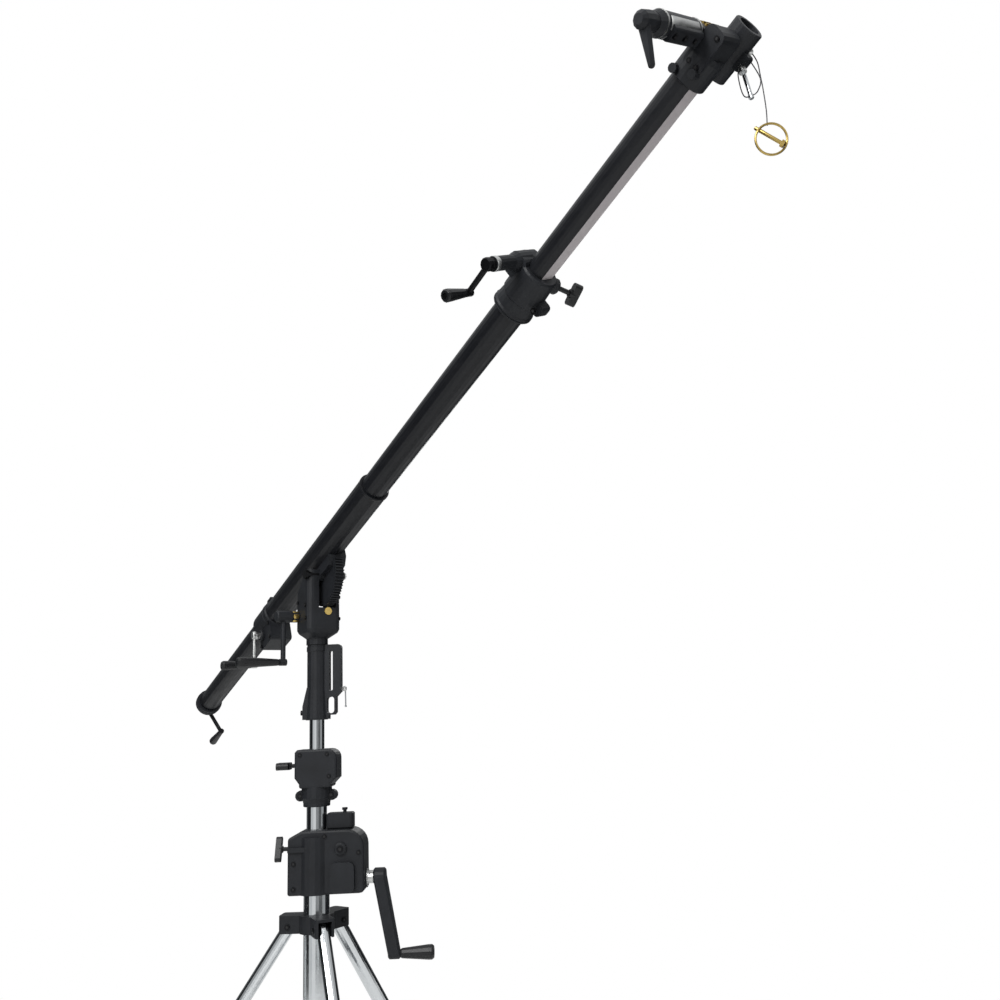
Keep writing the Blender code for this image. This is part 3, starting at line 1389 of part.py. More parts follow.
def friction_hub(parent):
    """Split clamp that brakes the cross axle."""
    side = place((CROSS_S, 0, CROSS_UP), -AXIS_Y, AXIS_X)
    start = -CASE_RIGHT + SEAT
    stop = -FRICTION_END
    body = turned(
        (
            (FRICTION_R - 0.001, start), (FRICTION_R, start + 0.002), (FRICTION_R, stop - 0.008),
            (FRICTION_R - 0.004, stop),
        ),
        side, 20,
    )
    ridge = extruded(
        rounded(-0.010, 0.010, -FRICTION_R - 0.004, 0.0, 0.004, 3), start + 0.006, stop - 0.020, side,
    )
    join(body, ridge)
    cross = CROSS_R + RUN
    cut(body, turned(((cross, 0.0), (cross, stop - 0.010)), side, 16))
    stem = KNOB_STEM_R + RUN
    cut(body, turned(((stem, stop - 0.009), (stem, stop + 0.01)), side, 10))
    seat(body, "friction_hub", CAST_BLACK, parent)


def lock_lever(parent):
    """Bent lever on the end of the friction hub."""
    side = place((CROSS_S, 0, CROSS_UP), -AXIS_Y, Vector((-0.515, 0.0, -0.857)))
    start = -FRICTION_END + SEAT
    stop = -LEVER_END
    body = turned(
        (
            (KNOB_STEM_R, start - 0.007), (KNOB_STEM_R, start), (0.0105, start), (0.0120, start + 0.010),
            (0.0105, stop - 0.006), (0.006, stop),
        ),
        side, 12,
    )
    arm = strap(side, 0.0080, 0.0042, LEVER_ARM, stop - 0.015, stop - 0.007, 0.0)
    join(body, arm)
    seat(body, "lock_lever", CAST_BLACK, parent)


# Assembly

def build():
    root = pivot("stand_origin")
    stand = pivot("stand", root, ORIGIN, ("Z", STAND_TURN))
    low_tube(stand)
    column_foot(stand)
    spider(stand)
    winch_housing(stand)
    brake_block(stand)
    brace_collar(pivot("collar_slide", stand))
    for number, azimuth in enumerate(LEG_AZIMUTHS, 1):
        angle = math.radians(azimuth)
        hinge_point = (HINGE_R * math.cos(angle), HINGE_R * math.sin(angle), HINGE_Z)
        fold = pivot(f"leg_{number}_fold", stand, hinge_point, ("Z", angle))
        on_leg, _ = brace_points()
        brace(number, pivot(f"brace_{number}_fold", fold, on_leg))
        if number == 1:
            slide = pivot("level_slide", fold, on_leg * 2.0)
            levelling_leg(fold, slide)
            foot(number, slide)
        else:
            plain_leg(number, fold)
            foot(number, fold)
    crank = pivot("winch_turn", stand, (WINCH_RIGHT, 0, CRANK_Z))
    winch_crank(crank, pivot("winch_grip_spin", crank, (WINCH_RIGHT + 0.060, 0, CRANK_Z - WINCH_ARM)))
    winch_knob(pivot("winch_knob_turn", stand, (-WINCH_LEFT, 0, WINCH_TOP_Z - 0.035)))
    mid = pivot("mid_rise", stand, (0, 0, MID_FOOT_Z))
    mid_tube(mid)
    brake_housing(mid)
    brake_knob(pivot("brake_knob_turn", mid, (-0.039, 0, BRAKE_TOP_Z - 0.031)))
    top = pivot("top_rise", mid, (0, 0, TOP_FOOT_Z))
    top_tube(top)
    socket_casting(top)
    pin_height = SOCKET_BASE_Z + WINDOW_Z + WINDOW_H + 0.015
    socket_pin(pivot("socket_pin_pull", top, (HANDLE_OUT, 0, pin_height)))
    build_boom(top)
    settle(root)


def build_boom(top):
    pan = pivot("pan_turn", top, ORIGIN, ("Z", -STAND_TURN))
    yoke(pan)
    tilt_axle(pan)
    tilt_worm(pivot("tilt_worm_turn", pan, (0, SECTOR_MID, WORM_Z)))
    crank = pivot("tilt_crank_turn", pan, (TILT_SHAFT_X, -YOKE_RIGHT, TILT_SHAFT_Z))
    tilt_crank(crank, pivot("tilt_grip_spin", crank, (TILT_SHAFT_X, -0.1, TILT_SHAFT_Z - TILT_ARM)))
    tilt = pivot("tilt_turn", pan, (TILT_X, 0, TILT_Z))
    boom = pivot("boom", tilt, (BOOM_ORIGIN_X, 0, BOOM_ORIGIN_Z), ("Y", -BOOM_ELEVATION))
    tilt_sector(boom)
    boom_sleeve(boom)
    rear_housing(boom)
    line = roll_shaft_frame()
    crank = pivot("roll_crank_turn", boom, line @ Vector((0, 0, 0.03)))
    roll_crank(crank, pivot("roll_grip_spin", crank, line @ Vector((ROLL_ARM, 0, 0.1))))
    roll = pivot("roll_turn", boom, ORIGIN, ("X", BOOM_ROLL))
    outer_tube(roll)
    roll_ring(roll)
    rear_cap(roll)
    front_collar(roll)
    crank = pivot("rear_crank_turn", roll, (REAR_END, 0, 0))
    drive_shaft(crank, pivot("rear_grip_spin", crank, (REAR_END, 0, -REAR_ARM)))
    line = extension_frame()
    crank = pivot("extension_crank_turn", roll, line @ Vector((0, 0, EXT_BEARING_OUT)))
    extension_crank(
        crank, pivot("extension_grip_spin", crank, line @ Vector((EXT_ARM, 0, EXT_BEARING_OUT))),
    )
    collar_knob(pivot("collar_knob_turn", roll, knob_frame() @ Vector((0, 0, 0.04))))
    build_head(pivot("extension_slide", roll, (HEAD_REAR, 0, 0)))


def build_head(arm):
    inner_tube(arm)
    head_casting(arm)
    friction_hub(arm)
    head_worm(pivot("head_worm_turn", arm, (CROSS_S, 0, 0)))
    lock_lever(pivot("lever_turn", arm, (CROSS_S, FRICTION_END, CROSS_UP)))
    tilt = pivot("receiver_turn", arm, (CROSS_S, RECEIVER_Y, CROSS_UP))
    worm_wheel(tilt)
    receiver(tilt)


def settle(root):
    """Moves the whole stand so that its feet are on the floor and its box is centred on the origin."""
    bpy.context.view_layer.update()
    corners = []
    for item in bpy.context.scene.objects:
        if item.type == "MESH":
            corners += [item.matrix_world @ vertex.co for vertex in item.data.vertices]
    xs = [corner.x for corner in corners]
    ys = [corner.y for corner in corners]
    lowest = min(corner.z for corner in corners)
    root.location = (-(min(xs) + max(xs)) / 2, -(min(ys) + max(ys)) / 2, -lowest)
    bpy.context.view_layer.update()


build()
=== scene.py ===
# %% [markdown]
# # A boom light stand
#
# The stand holds a lamp out over a set. Three chrome legs carry a wind-up column, and a geared
# boom lies across the column's head. The CAD model already has every casting, tube and crank at
# its real size, so this lesson dresses it: finishes, screws, wires, small hardware and the light
# of a small studio.

import json
import math

import bmesh
import bpy
from mathutils import Matrix, Vector


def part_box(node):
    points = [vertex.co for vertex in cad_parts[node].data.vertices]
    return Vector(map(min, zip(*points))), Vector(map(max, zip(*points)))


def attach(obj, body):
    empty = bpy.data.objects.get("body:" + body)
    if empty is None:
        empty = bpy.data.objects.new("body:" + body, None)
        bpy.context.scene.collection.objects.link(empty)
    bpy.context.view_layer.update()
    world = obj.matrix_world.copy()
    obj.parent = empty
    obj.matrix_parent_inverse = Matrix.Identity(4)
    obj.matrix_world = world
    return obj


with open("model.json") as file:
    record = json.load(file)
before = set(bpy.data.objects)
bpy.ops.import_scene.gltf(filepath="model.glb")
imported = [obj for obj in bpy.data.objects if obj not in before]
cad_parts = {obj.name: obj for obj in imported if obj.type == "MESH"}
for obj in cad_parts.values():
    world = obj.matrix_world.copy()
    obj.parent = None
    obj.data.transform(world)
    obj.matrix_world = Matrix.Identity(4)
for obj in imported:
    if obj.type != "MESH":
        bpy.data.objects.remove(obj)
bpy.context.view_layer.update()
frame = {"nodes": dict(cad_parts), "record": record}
joints = {joint["name"]: joint for joint in frame["record"]["behaviour"]["joints"]}
print("nodes:", len(frame["nodes"]), "joints:", len(joints))

# %% [markdown]
# Small parts are easiest to place in the frame of the casting that carries them. The packed
# record gives each joint's place and axis, so the frames are read from it and nothing is typed
# twice. The stand's frame looks at the winch from the front. The boom's frame runs along the
# tube, and the rolled frame is the same one turned with the tube in its cradle.

# %% Frames of the castings
MM = 0.001


def axes(origin, x_axis, y_axis):
    """Matrix with its X along x_axis and its Y as near to y_axis as it can be."""
    x_axis = Vector(x_axis).normalized()
    z_axis = x_axis.cross(Vector(y_axis)).normalized()
    y_axis = z_axis.cross(x_axis)
    turn = Matrix((x_axis, y_axis, z_axis)).transposed().to_4x4()
    return Matrix.Translation(Vector(origin)) @ turn


def middle(node):
    """Middle of a node's box."""
    low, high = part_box(node)
    return (Vector(low) + Vector(high)) / 2


column = middle("low_tube")
column.z = 0.0
across = Vector(joints["winch_turn"]["axis"])
STAND = axes(column, across, Vector((0, 0, 1)).cross(across))
YOKE = Matrix.Translation(column)
BOOM = axes(joints["roll_turn"]["pos_m"], joints["roll_turn"]["axis"], (0, 1, 0))
ROLLED = axes(joints["roll_turn"]["pos_m"], joints["roll_turn"]["axis"], joints["receiver_turn"]["axis"])


def spot(base, joint):
    """A joint's place in a casting's frame, in millimetres."""
    return base.inverted() @ Vector(joints[joint]["pos_m"]) / MM


print("column at", [round(value, 3) for value in column])

# %% [markdown]
# The camera stands in front of the legs, low and close, and looks up a little, so uprights lean
# together towards the top. Its place was worked out from the tubes' known diameters. It is given
# from the foot of the column, because the camera belongs to the view and not to the stand.

# %% Camera
FOCAL_LENGTH = 32.4
SENSOR_WIDTH = 36.0
EYE_FROM_COLUMN = Vector((1.7568, -0.7828, 1.3260))
VIEW_RIGHT = Vector((0.57557, 0.81648, -0.04565))
VIEW_UP = Vector((0.21873, -0.09993, 0.97065))

lens = bpy.data.cameras.new("camera")
lens.sensor_fit = "HORIZONTAL"
lens.sensor_width = SENSOR_WIDTH
lens.lens = FOCAL_LENGTH
lens.clip_start = 0.02
lens.clip_end = 60.0
camera = bpy.data.objects.new("camera", lens)
bpy.context.scene.collection.objects.link(camera)
right = VIEW_RIGHT.normalized()
back = right.cross(VIEW_UP).normalized()
turn = Matrix((right, back.cross(right), back)).transposed().to_4x4()
camera.matrix_world = Matrix.Translation(column + EYE_FROM_COLUMN) @ turn
bpy.context.scene.camera = camera
print("camera", [round(value, 3) for value in camera.matrix_world.translation])

# %% [markdown]
# Two wire lanyards hang from the receiver, so that its pins can't be lost. The wire is a
# millimetre and a half of coated strand. It is limp over this length, so the long one falls
# straight down from its eye and the short one makes a small loop. Each is one curve with a round
# section, through a few points that are given from the receiver's middle and smoothed between.

# %% Wire for the lanyards
WIRE = 0.0015
PATH_STEPS = 35


def smooth_path(points):
    """Catmull-Rom line of about PATH_STEPS steps through points, with its own ends."""
    steps = PATH_STEPS // (len(points) - 1)
    points = [Vector(point) for point in points]
    padded = [2 * points[0] - points[1]] + points + [2 * points[-1] - points[-2]]
    line = [points[0]]
    for at in range(1, len(padded) - 2):
        a, b, c, d = padded[at - 1:at + 3]
        for step in range(1, steps + 1):
            t = step / steps
            curve = 2 * b + (c - a) * t + (2 * a - 5 * b + 4 * c - d) * t * t
            line.append((curve + (3 * b - a - 3 * c + d) * t ** 3) / 2)
    return line


def lanyard(name, points):
    """Curve of the wire; returns the object and its line."""
    line = smooth_path([HANG + Vector(point) * MM for point in points])
    data = bpy.data.curves.new(name, "CURVE")
    data.dimensions = "3D"
    data.bevel_depth = WIRE / 2
    data.bevel_resolution = 2
    data.use_fill_caps = True
    spline = data.splines.new("POLY")
    spline.points.add(len(line) - 1)
    for point, place in zip(spline.points, line):
        point.co = (*place, 1.0)
    item = bpy.data.objects.new(name, data)
    bpy.context.scene.collection.objects.link(item)
    return item, line


# %% [markdown]
# The eye of the long lanyard sits on the receiver's side. The fittings are placed from the middle
# of the receiver's tube, in millimetres along the world's axes: a ring pin hangs on the long wire,
# and a chrome pull pin stands in the lug under the tube, with the short wire looped past it.

# %% Hang the lanyards
RECEIVER_STATION = 1243.0
RECEIVER_SIDE = 46.3
HANG = ROLLED @ Vector((RECEIVER_STATION * MM, RECEIVER_SIDE * MM, 0.0))
LONG_WIRE = (
    (15.3, 21.3, -3.5), (18.8, 26.0, -18.5), (19.7, 27.3, -37.6), (20.4, 28.3, -59.3),
    (20.7, 28.7, -88.0), (20.0, 27.5, -110.0),
)
SHORT_WIRE = (
    (12.6, 17.4, -12.0), (19.4, 26.9, -41.9), (16.8, 23.3, -59.0), (12.7, 17.6, -65.8),
    (6.8, 9.4, -68.1), (4.5, 6.2, -57.8), (3.5, 4.9, -38.9), (4.2, 5.8, -28.8),
)

# %% [markdown]
# Every finish below is a small tree of nodes. One helper adds a node, sets its values and links
# its inputs, and another turns a paint chart's hex value into the linear light that the shader
# works in.

# %% Helpers for finishes


def colour(value):
    """Linear RGBA from an sRGB hex value."""
    parts = [int(value[at:at + 2], 16) / 255 for at in (0, 2, 4)]
    linear = [((c + 0.055) / 1.055) ** 2.4 if c > 0.04045 else c / 12.92 for c in parts]
    return (*linear, 1.0)


def add(tree, kind, settings=None, inputs=None):
    """Adds a node; an input is a value or the socket that feeds it."""
    node = tree.nodes.new(kind)
    for name, value in (settings or {}).items():
        setattr(node, name, value)
    for name, value in (inputs or {}).items():
        if isinstance(value, bpy.types.NodeSocket):
            tree.links.new(value, node.inputs[name])
        else:
            node.inputs[name].default_value = value
    return node


def finish_of(name, **values):
    """New material with a plain Principled shader; returns it, its tree and the shader."""
    material = bpy.data.materials.new(name)
    material.use_nodes = True
    shader = material.node_tree.nodes["Principled BSDF"]
    for socket, value in values.items():
        shader.inputs[socket.replace("_", " ")].default_value = value
    return material, material.node_tree, shader


# %% [markdown]
# The castings are sand-cast aluminium under a textured powder coat. The coat has grains about a
# third of a millimetre wide, which catch the light as fine sparkle and make the surface look
# dry. Rubbed edges show a little greyer, which a slow noise in the colour stands for.

# %% Textured powder coat
cast_coat, tree, shader = finish_of(
    "textured_powder_coat", Metallic=0.0, Roughness=0.5, IOR=1.5, Specular_IOR_Level=0.22,
)
where = add(tree, "ShaderNodeTexCoord")
grain = add(
    tree, "ShaderNodeTexNoise", None,
    {"Vector": where.outputs["Object"], "Scale": 900.0, "Detail": 3.0, "Roughness": 0.6},
)
cloud = add(
    tree, "ShaderNodeTexNoise", None, {"Vector": where.outputs["Object"], "Scale": 28.0, "Detail": 4.0},
)
tone = add(tree, "ShaderNodeMix", {"data_type": "RGBA"}, {"Factor": cloud.outputs["Fac"]})
tone.inputs[6].default_value = colour("121315")
tone.inputs[7].default_value = colour("202226")
dry = add(
    tree, "ShaderNodeMapRange", None, {"Value": grain.outputs["Fac"], "To Min": 0.38, "To Max": 0.62},
)
bump = add(
    tree, "ShaderNodeBump", None, {"Height": grain.outputs["Fac"], "Strength": 0.35, "Distance": 0.0002},
)
tree.links.new(tone.outputs[2], shader.inputs["Base Color"])
tree.links.new(dry.outputs["Result"], shader.inputs["Roughness"])
tree.links.new(bump.outputs["Normal"], shader.inputs["Normal"])
print(cast_coat.name)

# %% [markdown]
# The boom's tubes are drawn aluminium with a satin black coat. It is smoother than the castings,
# and faint scuffs run round the tube where the cradle and the collar have rubbed it. The scuffs
# are a noise stretched along the boom, in roughness only. The noise is laid at the boom's own
# slope, because the pieces keep the world's axes as theirs.

# %% Satin black coat
BOOM_SLOPE = 0.365
satin_black, tree, shader = finish_of(
    "satin_black_coat", Metallic=0.0, IOR=1.5, Specular_IOR_Level=0.2, Coat_Weight=0.06,
    Coat_Roughness=0.25,
)
shader.inputs["Base Color"].default_value = colour("121316")
where = add(tree, "ShaderNodeTexCoord")
lay = add(
    tree, "ShaderNodeMapping", None,
    {"Vector": where.outputs["Object"], "Rotation": (0, BOOM_SLOPE, 0), "Scale": (14.0, 90.0, 90.0)},
)
scuff = add(
    tree, "ShaderNodeTexNoise", None,
    {"Vector": lay.outputs["Vector"], "Scale": 1.0, "Detail": 5.0, "Roughness": 0.65},
)
rub = add(
    tree, "ShaderNodeMapRange", None,
    {"Value": scuff.outputs["Fac"], "From Min": 0.35, "From Max": 0.7, "To Min": 0.30, "To Max": 0.48},
)
tree.links.new(rub.outputs["Result"], shader.inputs["Roughness"])
print(satin_black.name)

# %% [markdown]
# Column and legs are steel tube with bright chrome plate. Plate like this is a clean mirror with
# soft wear: fingerprints and fine dust lift its roughness in patches a few centimetres long.

# %% Chrome plate
chrome, tree, shader = finish_of("chrome_plate", Metallic=1.0)
shader.inputs["Base Color"].default_value = colour("C9CCCE")
where = add(tree, "ShaderNodeTexCoord")
haze = add(
    tree, "ShaderNodeTexNoise", None,
    {"Vector": where.outputs["Object"], "Scale": 22.0, "Detail": 6.0, "Roughness": 0.7},
)
dull = add(
    tree, "ShaderNodeMapRange", None,
    {"Value": haze.outputs["Fac"], "From Min": 0.4, "From Max": 0.75, "To Min": 0.09, "To Max": 0.24},
)
tree.links.new(dull.outputs["Result"], shader.inputs["Roughness"])
print(chrome.name)

# %% [markdown]
# Shafts, pins and screws are zinc-plated steel, greyer and softer than chrome. The cranks' flat
# arms and the tilt axle are steel with a black oxide finish. The gears' brass is machined, so its
# lay is a fine stretched noise about a quarter of a millimetre apart.

# %% Zinc plate, black oxide and machined brass
zinc, tree, shader = finish_of("zinc_plate", Metallic=1.0)
where = add(tree, "ShaderNodeTexCoord")
bloom = add(
    tree, "ShaderNodeTexNoise", None, {"Vector": where.outputs["Object"], "Scale": 160.0, "Detail": 4.0},
)
shade = add(tree, "ShaderNodeMix", {"data_type": "RGBA"}, {"Factor": bloom.outputs["Fac"]})
shade.inputs[6].default_value = colour("A9ABAC")
shade.inputs[7].default_value = colour("CFCFCC")
soft = add(
    tree, "ShaderNodeMapRange", None, {"Value": bloom.outputs["Fac"], "To Min": 0.22, "To Max": 0.42},
)
tree.links.new(shade.outputs[2], shader.inputs["Base Color"])
tree.links.new(soft.outputs["Result"], shader.inputs["Roughness"])

brass, tree, shader = finish_of("machined_brass", Metallic=1.0, Roughness=0.3)
shader.inputs["Base Color"].default_value = colour("B29A5B")
where = add(tree, "ShaderNodeTexCoord")
lay = add(
    tree, "ShaderNodeMapping", None,
    {"Vector": where.outputs["Object"], "Scale": (4000.0, 300.0, 4000.0)},
)
cutmark = add(
    tree, "ShaderNodeTexNoise", None, {"Vector": lay.outputs["Vector"], "Scale": 1.0, "Detail": 2.0},
)
bump = add(
    tree, "ShaderNodeBump", None,
    {"Height": cutmark.outputs["Fac"], "Strength": 0.12, "Distance": 0.0001},
)
tree.links.new(bump.outputs["Normal"], shader.inputs["Normal"])

black_oxide, tree, shader = finish_of("black_oxide_steel", Metallic=0.9, Roughness=0.42)
shader.inputs["Base Color"].default_value = colour("1C1C1E")
print(zinc.name, brass.name, black_oxide.name)

# %% [markdown]
# The grips are moulded nylon with a fine spark-eroded grain, and the feet are black rubber, which
# scatters light and greys where it has picked up dust from floors.

# %% Nylon and rubber
nylon, tree, shader = finish_of("moulded_nylon", Roughness=0.38, IOR=1.53, Specular_IOR_Level=0.3)
shader.inputs["Base Color"].default_value = colour("101113")
where = add(tree, "ShaderNodeTexCoord")
grain = add(
    tree, "ShaderNodeTexNoise", None, {"Vector": where.outputs["Object"], "Scale": 1500.0, "Detail": 2.0},
)
bump = add(
    tree, "ShaderNodeBump", None, {"Height": grain.outputs["Fac"], "Strength": 0.15, "Distance": 0.0001},
)
tree.links.new(bump.outputs["Normal"], shader.inputs["Normal"])

rubber, tree, shader = finish_of("dusty_rubber", Roughness=0.75, IOR=1.52)
where = add(tree, "ShaderNodeTexCoord")
dust = add(
    tree, "ShaderNodeTexNoise", None, {"Vector": where.outputs["Object"], "Scale": 60.0, "Detail": 6.0},
)
grey = add(tree, "ShaderNodeMix", {"data_type": "RGBA"}, {"Factor": dust.outputs["Fac"]})
grey.inputs[6].default_value = colour("151515")
grey.inputs[7].default_value = colour("2C2B2A")
tree.links.new(grey.outputs[2], shader.inputs["Base Color"])
print(nylon.name, rubber.name)

# %% [markdown]
# Each CAD node keeps its shape and gets the finish that its record slot names. Three steel pieces
# are an exception: a crank, the long shaft and the tilt axle are black oxide steel.

# %% Give the CAD pieces their finishes
FINISHES = {
    "black_paint": satin_black,
    "cast_black": cast_coat,
    "chrome": chrome,
    "brass": brass,
    "zinc_steel": zinc,
    "black_rubber": rubber,
    "grip_plastic": nylon,
}
DARK_STEEL = ("extension_crank", "drive_shaft", "tilt_axle")
slot_of = {entry["node"]: entry["material_slot"] for entry in frame["record"]["subparts"]}
for node, item in frame["nodes"].items():
    finish = black_oxide if node in DARK_STEEL else FINISHES[slot_of[node]]
    item.data.materials.clear()
    item.data.materials.append(finish)
print("finished", len(slot_of), "nodes")

# %% [markdown]
# Small turned parts, such as sleeves, nuts and rings, are all one shape: a section carried round
# an axis. The helper below takes the section as radius and height in millimetres, in the frame of
# the casting, so a washer is four pairs of numbers.

# %% Helper for turned parts


def facing(base, point, out):
    """Frame at a point of base, in millimetres, with its Z along out in base's axes."""
    out = Vector(out).normalized()
    guide = Vector((1, 0, 0)) if abs(out.x) < 0.9 else Vector((0, 1, 0))
    side = out.cross(guide).normalized()
    turn = Matrix((side.cross(out), side, out)).transposed().to_4x4()
    return base @ Matrix.Translation(Vector(point) * MM) @ turn


def finished(name, mesh_maker, material, body, smooth=40.0):
    """Closes a bmesh into an object that rides on a body."""
    bmesh.ops.recalc_face_normals(mesh_maker, faces=mesh_maker.faces)
    mesh = bpy.data.meshes.new(name)
    mesh_maker.to_mesh(mesh)
    mesh_maker.free()
    mesh.materials.append(material)
    mesh.shade_smooth()
    mesh.set_sharp_from_angle(angle=math.radians(smooth))
    item = bpy.data.objects.new(name, mesh)
    bpy.context.scene.collection.objects.link(item)
    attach(item, body)
    return item


def turned(name, section, place, material, body, sides=48, ring=False, start=0.0, turn=360.0):
    """Turned part; a ring's section closes on itself, and a part turn leaves flat ends."""
    maker = bmesh.new()
    whole = turn == 360.0
    steps = sides if whole else sides + 1
    columns = []
    for step in range(steps):
        angle = math.radians(start + turn * step / sides)
        spoke = Vector((math.cos(angle), math.sin(angle), 0))
        points = [place @ (spoke * r * MM + Vector((0, 0, h * MM))) for r, h in section]
        columns.append([maker.verts.new(point) for point in points])
    count = len(section)
    pairs = [(at, (at + 1) % steps) for at in range(steps if whole else steps - 1)]
    for here, there in pairs:
        for low in range(count if ring else count - 1):
            high = (low + 1) % count
            maker.faces.new(
                (columns[here][low], columns[there][low], columns[there][high], columns[here][high])
            )
    if not whole:
        maker.faces.new(columns[0])
        maker.faces.new(columns[-1])
    elif not ring:
        maker.faces.new([line[0] for line in columns])
        maker.faces.new([line[-1] for line in columns])
    return finished(name, maker, material, body)


def plate(name, corners, low, high, place, material, body):
    """Flat part from corners in millimetres, between two heights of its frame."""
    maker = bmesh.new()
    bottom = [maker.verts.new(place @ Vector((x * MM, y * MM, low * MM))) for x, y in corners]
    top = [maker.verts.new(place @ Vector((x * MM, y * MM, high * MM))) for x, y in corners]
    maker.faces.new(bottom)
    maker.faces.new(top)
    for at in range(len(corners)):
        after = (at + 1) % len(corners)
        maker.faces.new((bottom[at], bottom[after], top[after], top[at]))
    return finished(name, maker, material, body)


# %% [markdown]
# The ring pin is a brass pin through a sprung ring, and its ring faces the front of the stand.
# The pull pin is chrome, with a zinc nut at the lug. All of them, and both wires, ride on the receiver.

# %% Pins on the lanyards
strand, tree, shader = finish_of("coated_strand", Roughness=0.4)
shader.inputs["Base Color"].default_value = colour("26262A")
CAP_EDGE = 0.6
PIN_SIDES = 24


def rod(name, start, end, radius, material, cap=0.0, cap_radius=0.0):
    """Turned pin between two points from the receiver, with a head at its end."""
    start, end = Vector(start), Vector(end)
    way = end - start
    section = [(radius * 0.7, 0.0), (radius, radius * 0.4), (radius, way.length - cap)]
    if cap:
        section += [
            (cap_radius, way.length - cap), (cap_radius, way.length - CAP_EDGE),
            (cap_radius * 0.8, way.length),
        ]
    place = facing(Matrix.Translation(HANG), start, way)
    return turned(name, section, place, material, "receiver", PIN_SIDES)


ring_pin = rod("ring_pin", (10.5, 14.8, -112.0), (30.5, 42.2, -138.0), 2.4, brass, 5.0, 4.6)
rod(
    "receiver_pull_pin", (6.4, 9.0, -20.0), (11.2, 15.6, -71.0), 2.7, chrome, 5.0, 3.4,
)
rod("receiver_pin_nut", (6.2, 8.8, -22.0), (7.3, 10.3, -33.0), 5.2, zinc)
RING_RADIUS = 19.5
RING_WIRE = 1.5
RING_STEPS = 56
WIRE_SIDES = 10
ring_maker = bmesh.new()
ring_frame = facing(Matrix.Translation(HANG), (21.5, 30.0, -129.0), (0.79, -0.57, -0.2))
rounds = []
for step in range(RING_STEPS):
    angle = 2 * math.pi * step / RING_STEPS
    spoke = Vector((math.cos(angle), math.sin(angle), 0))
    section = []
    for side in range(WIRE_SIDES):
        tilt = 2 * math.pi * side / WIRE_SIDES
        point = spoke * (RING_RADIUS + RING_WIRE * math.cos(tilt))
        point += Vector((0, 0, RING_WIRE * math.sin(tilt)))
        section.append(ring_maker.verts.new(ring_frame @ (point * MM)))
    rounds.append(section)
for here in range(RING_STEPS):
    there = (here + 1) % RING_STEPS
    for side in range(WIRE_SIDES):
        after = (side + 1) % WIRE_SIDES
        corners = (rounds[here][side], rounds[there][side], rounds[there][after], rounds[here][after])
        ring_maker.faces.new(corners)
ring = finished("ring_of_pin", ring_maker, brass, "receiver", 60.0)

eye_frame = facing(Matrix.Translation(HANG), LONG_WIRE[0], (0.5, 0.8, -0.1))
eye_section = [(3.4, -6.0), (3.4, 1.2), (2.2, 2.0)]
turned("lanyard_eye", eye_section, eye_frame, zinc, "receiver", PIN_SIDES)
for name, points, held in (
    ("lanyard_long", LONG_WIRE, [ring_pin, ring]), ("lanyard_short", SHORT_WIRE, []),
):
    wire, line = lanyard(name, points)
    wire.data.materials.append(strand)
    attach(wire, "receiver")

# %% [markdown]
# The inner tube has a flat milled along its underside, which keeps it from turning in the collar.
# The mill left it bright. It is drawn as a skin a tenth of a millimetre thick on the CAD flat, so
# that it slides with the tube.

# %% Bright flat under the inner tube
milled, tree, shader = finish_of("milled_aluminium", Metallic=0.35, Roughness=0.5)
where = add(tree, "ShaderNodeTexCoord")
lay = add(
    tree, "ShaderNodeMapping", None,
    {"Vector": where.outputs["Object"], "Rotation": (0, BOOM_SLOPE, 0), "Scale": (6.0, 700.0, 700.0)},
)
lines = add(
    tree, "ShaderNodeTexNoise", None, {"Vector": lay.outputs["Vector"], "Scale": 1.0, "Detail": 3.0},
)
shade = add(tree, "ShaderNodeMix", {"data_type": "RGBA"}, {"Factor": lines.outputs["Fac"]})
shade.inputs[6].default_value = colour("B3ACAE")
shade.inputs[7].default_value = colour("D2CCCD")
tree.links.new(shade.outputs[2], shader.inputs["Base Color"])
FLAT_FROM_AXIS = 16.0
INNER_RADIUS = 21.0
FLAT_START = -170.0
FLAT_END = 1193.0
FLAT_EDGE = 0.6
half_flat = math.sqrt(INNER_RADIUS ** 2 - FLAT_FROM_AXIS ** 2) - FLAT_EDGE
strip = [
    (FLAT_START, -half_flat), (FLAT_END, -half_flat), (FLAT_END, half_flat), (FLAT_START, half_flat),
]
skin_low = -FLAT_FROM_AXIS - 0.12
skin_high = -FLAT_FROM_AXIS + 0.02
plate("milled_flat", strip, skin_low, skin_high, ROLLED, milled, "arm")
print("flat is", round(2 * half_flat, 1), "mm wide")

# %% [markdown]
# The lock that holds the receiver is a split clamp. Its upper half is coated like the other
# castings, and its lower half is bare metal. The bare half is two strips of thin shell over the
# CAD hub, on either side of its row of screws, and a narrow bare band closes each end.

# %% Bare lower half of the head's clamp
CROSS = spot(ROLLED, "receiver_turn")
CROSS.y = 0.0
clamp = facing(ROLLED, CROSS, (0, -1, 0))
shell = [
    (15.1, 33.0), (15.5, 34.0), (15.5, 99.0), (15.1, 100.0), (14.7, 100.0), (14.7, 33.0),
]
STRIP_TURN = 60.0
for name, start in (("clamp_lower_half", 195.0), ("clamp_lower_half_rear", 285.0)):
    turned(name, shell, clamp, zinc, "arm", 24, True, start, STRIP_TURN)
for at, width in ((27.5, 2.2), (106.0, 2.5)):
    band = [(15.6, at), (15.6, at + width), (14.8, at + width), (14.8, at)]
    turned(f"clamp_band_{int(at)}", band, clamp, zinc, "arm", 48, True)
print("clamp dressed")

# %% [markdown]
# Cranks are built up: a shaft, a nut or collar, and an arm with an eye at each end. The CAD has
# each crank as one piece, so the nuts and eyes that have a finish of their own are thin sleeves
# over it, a quarter of a millimetre proud.

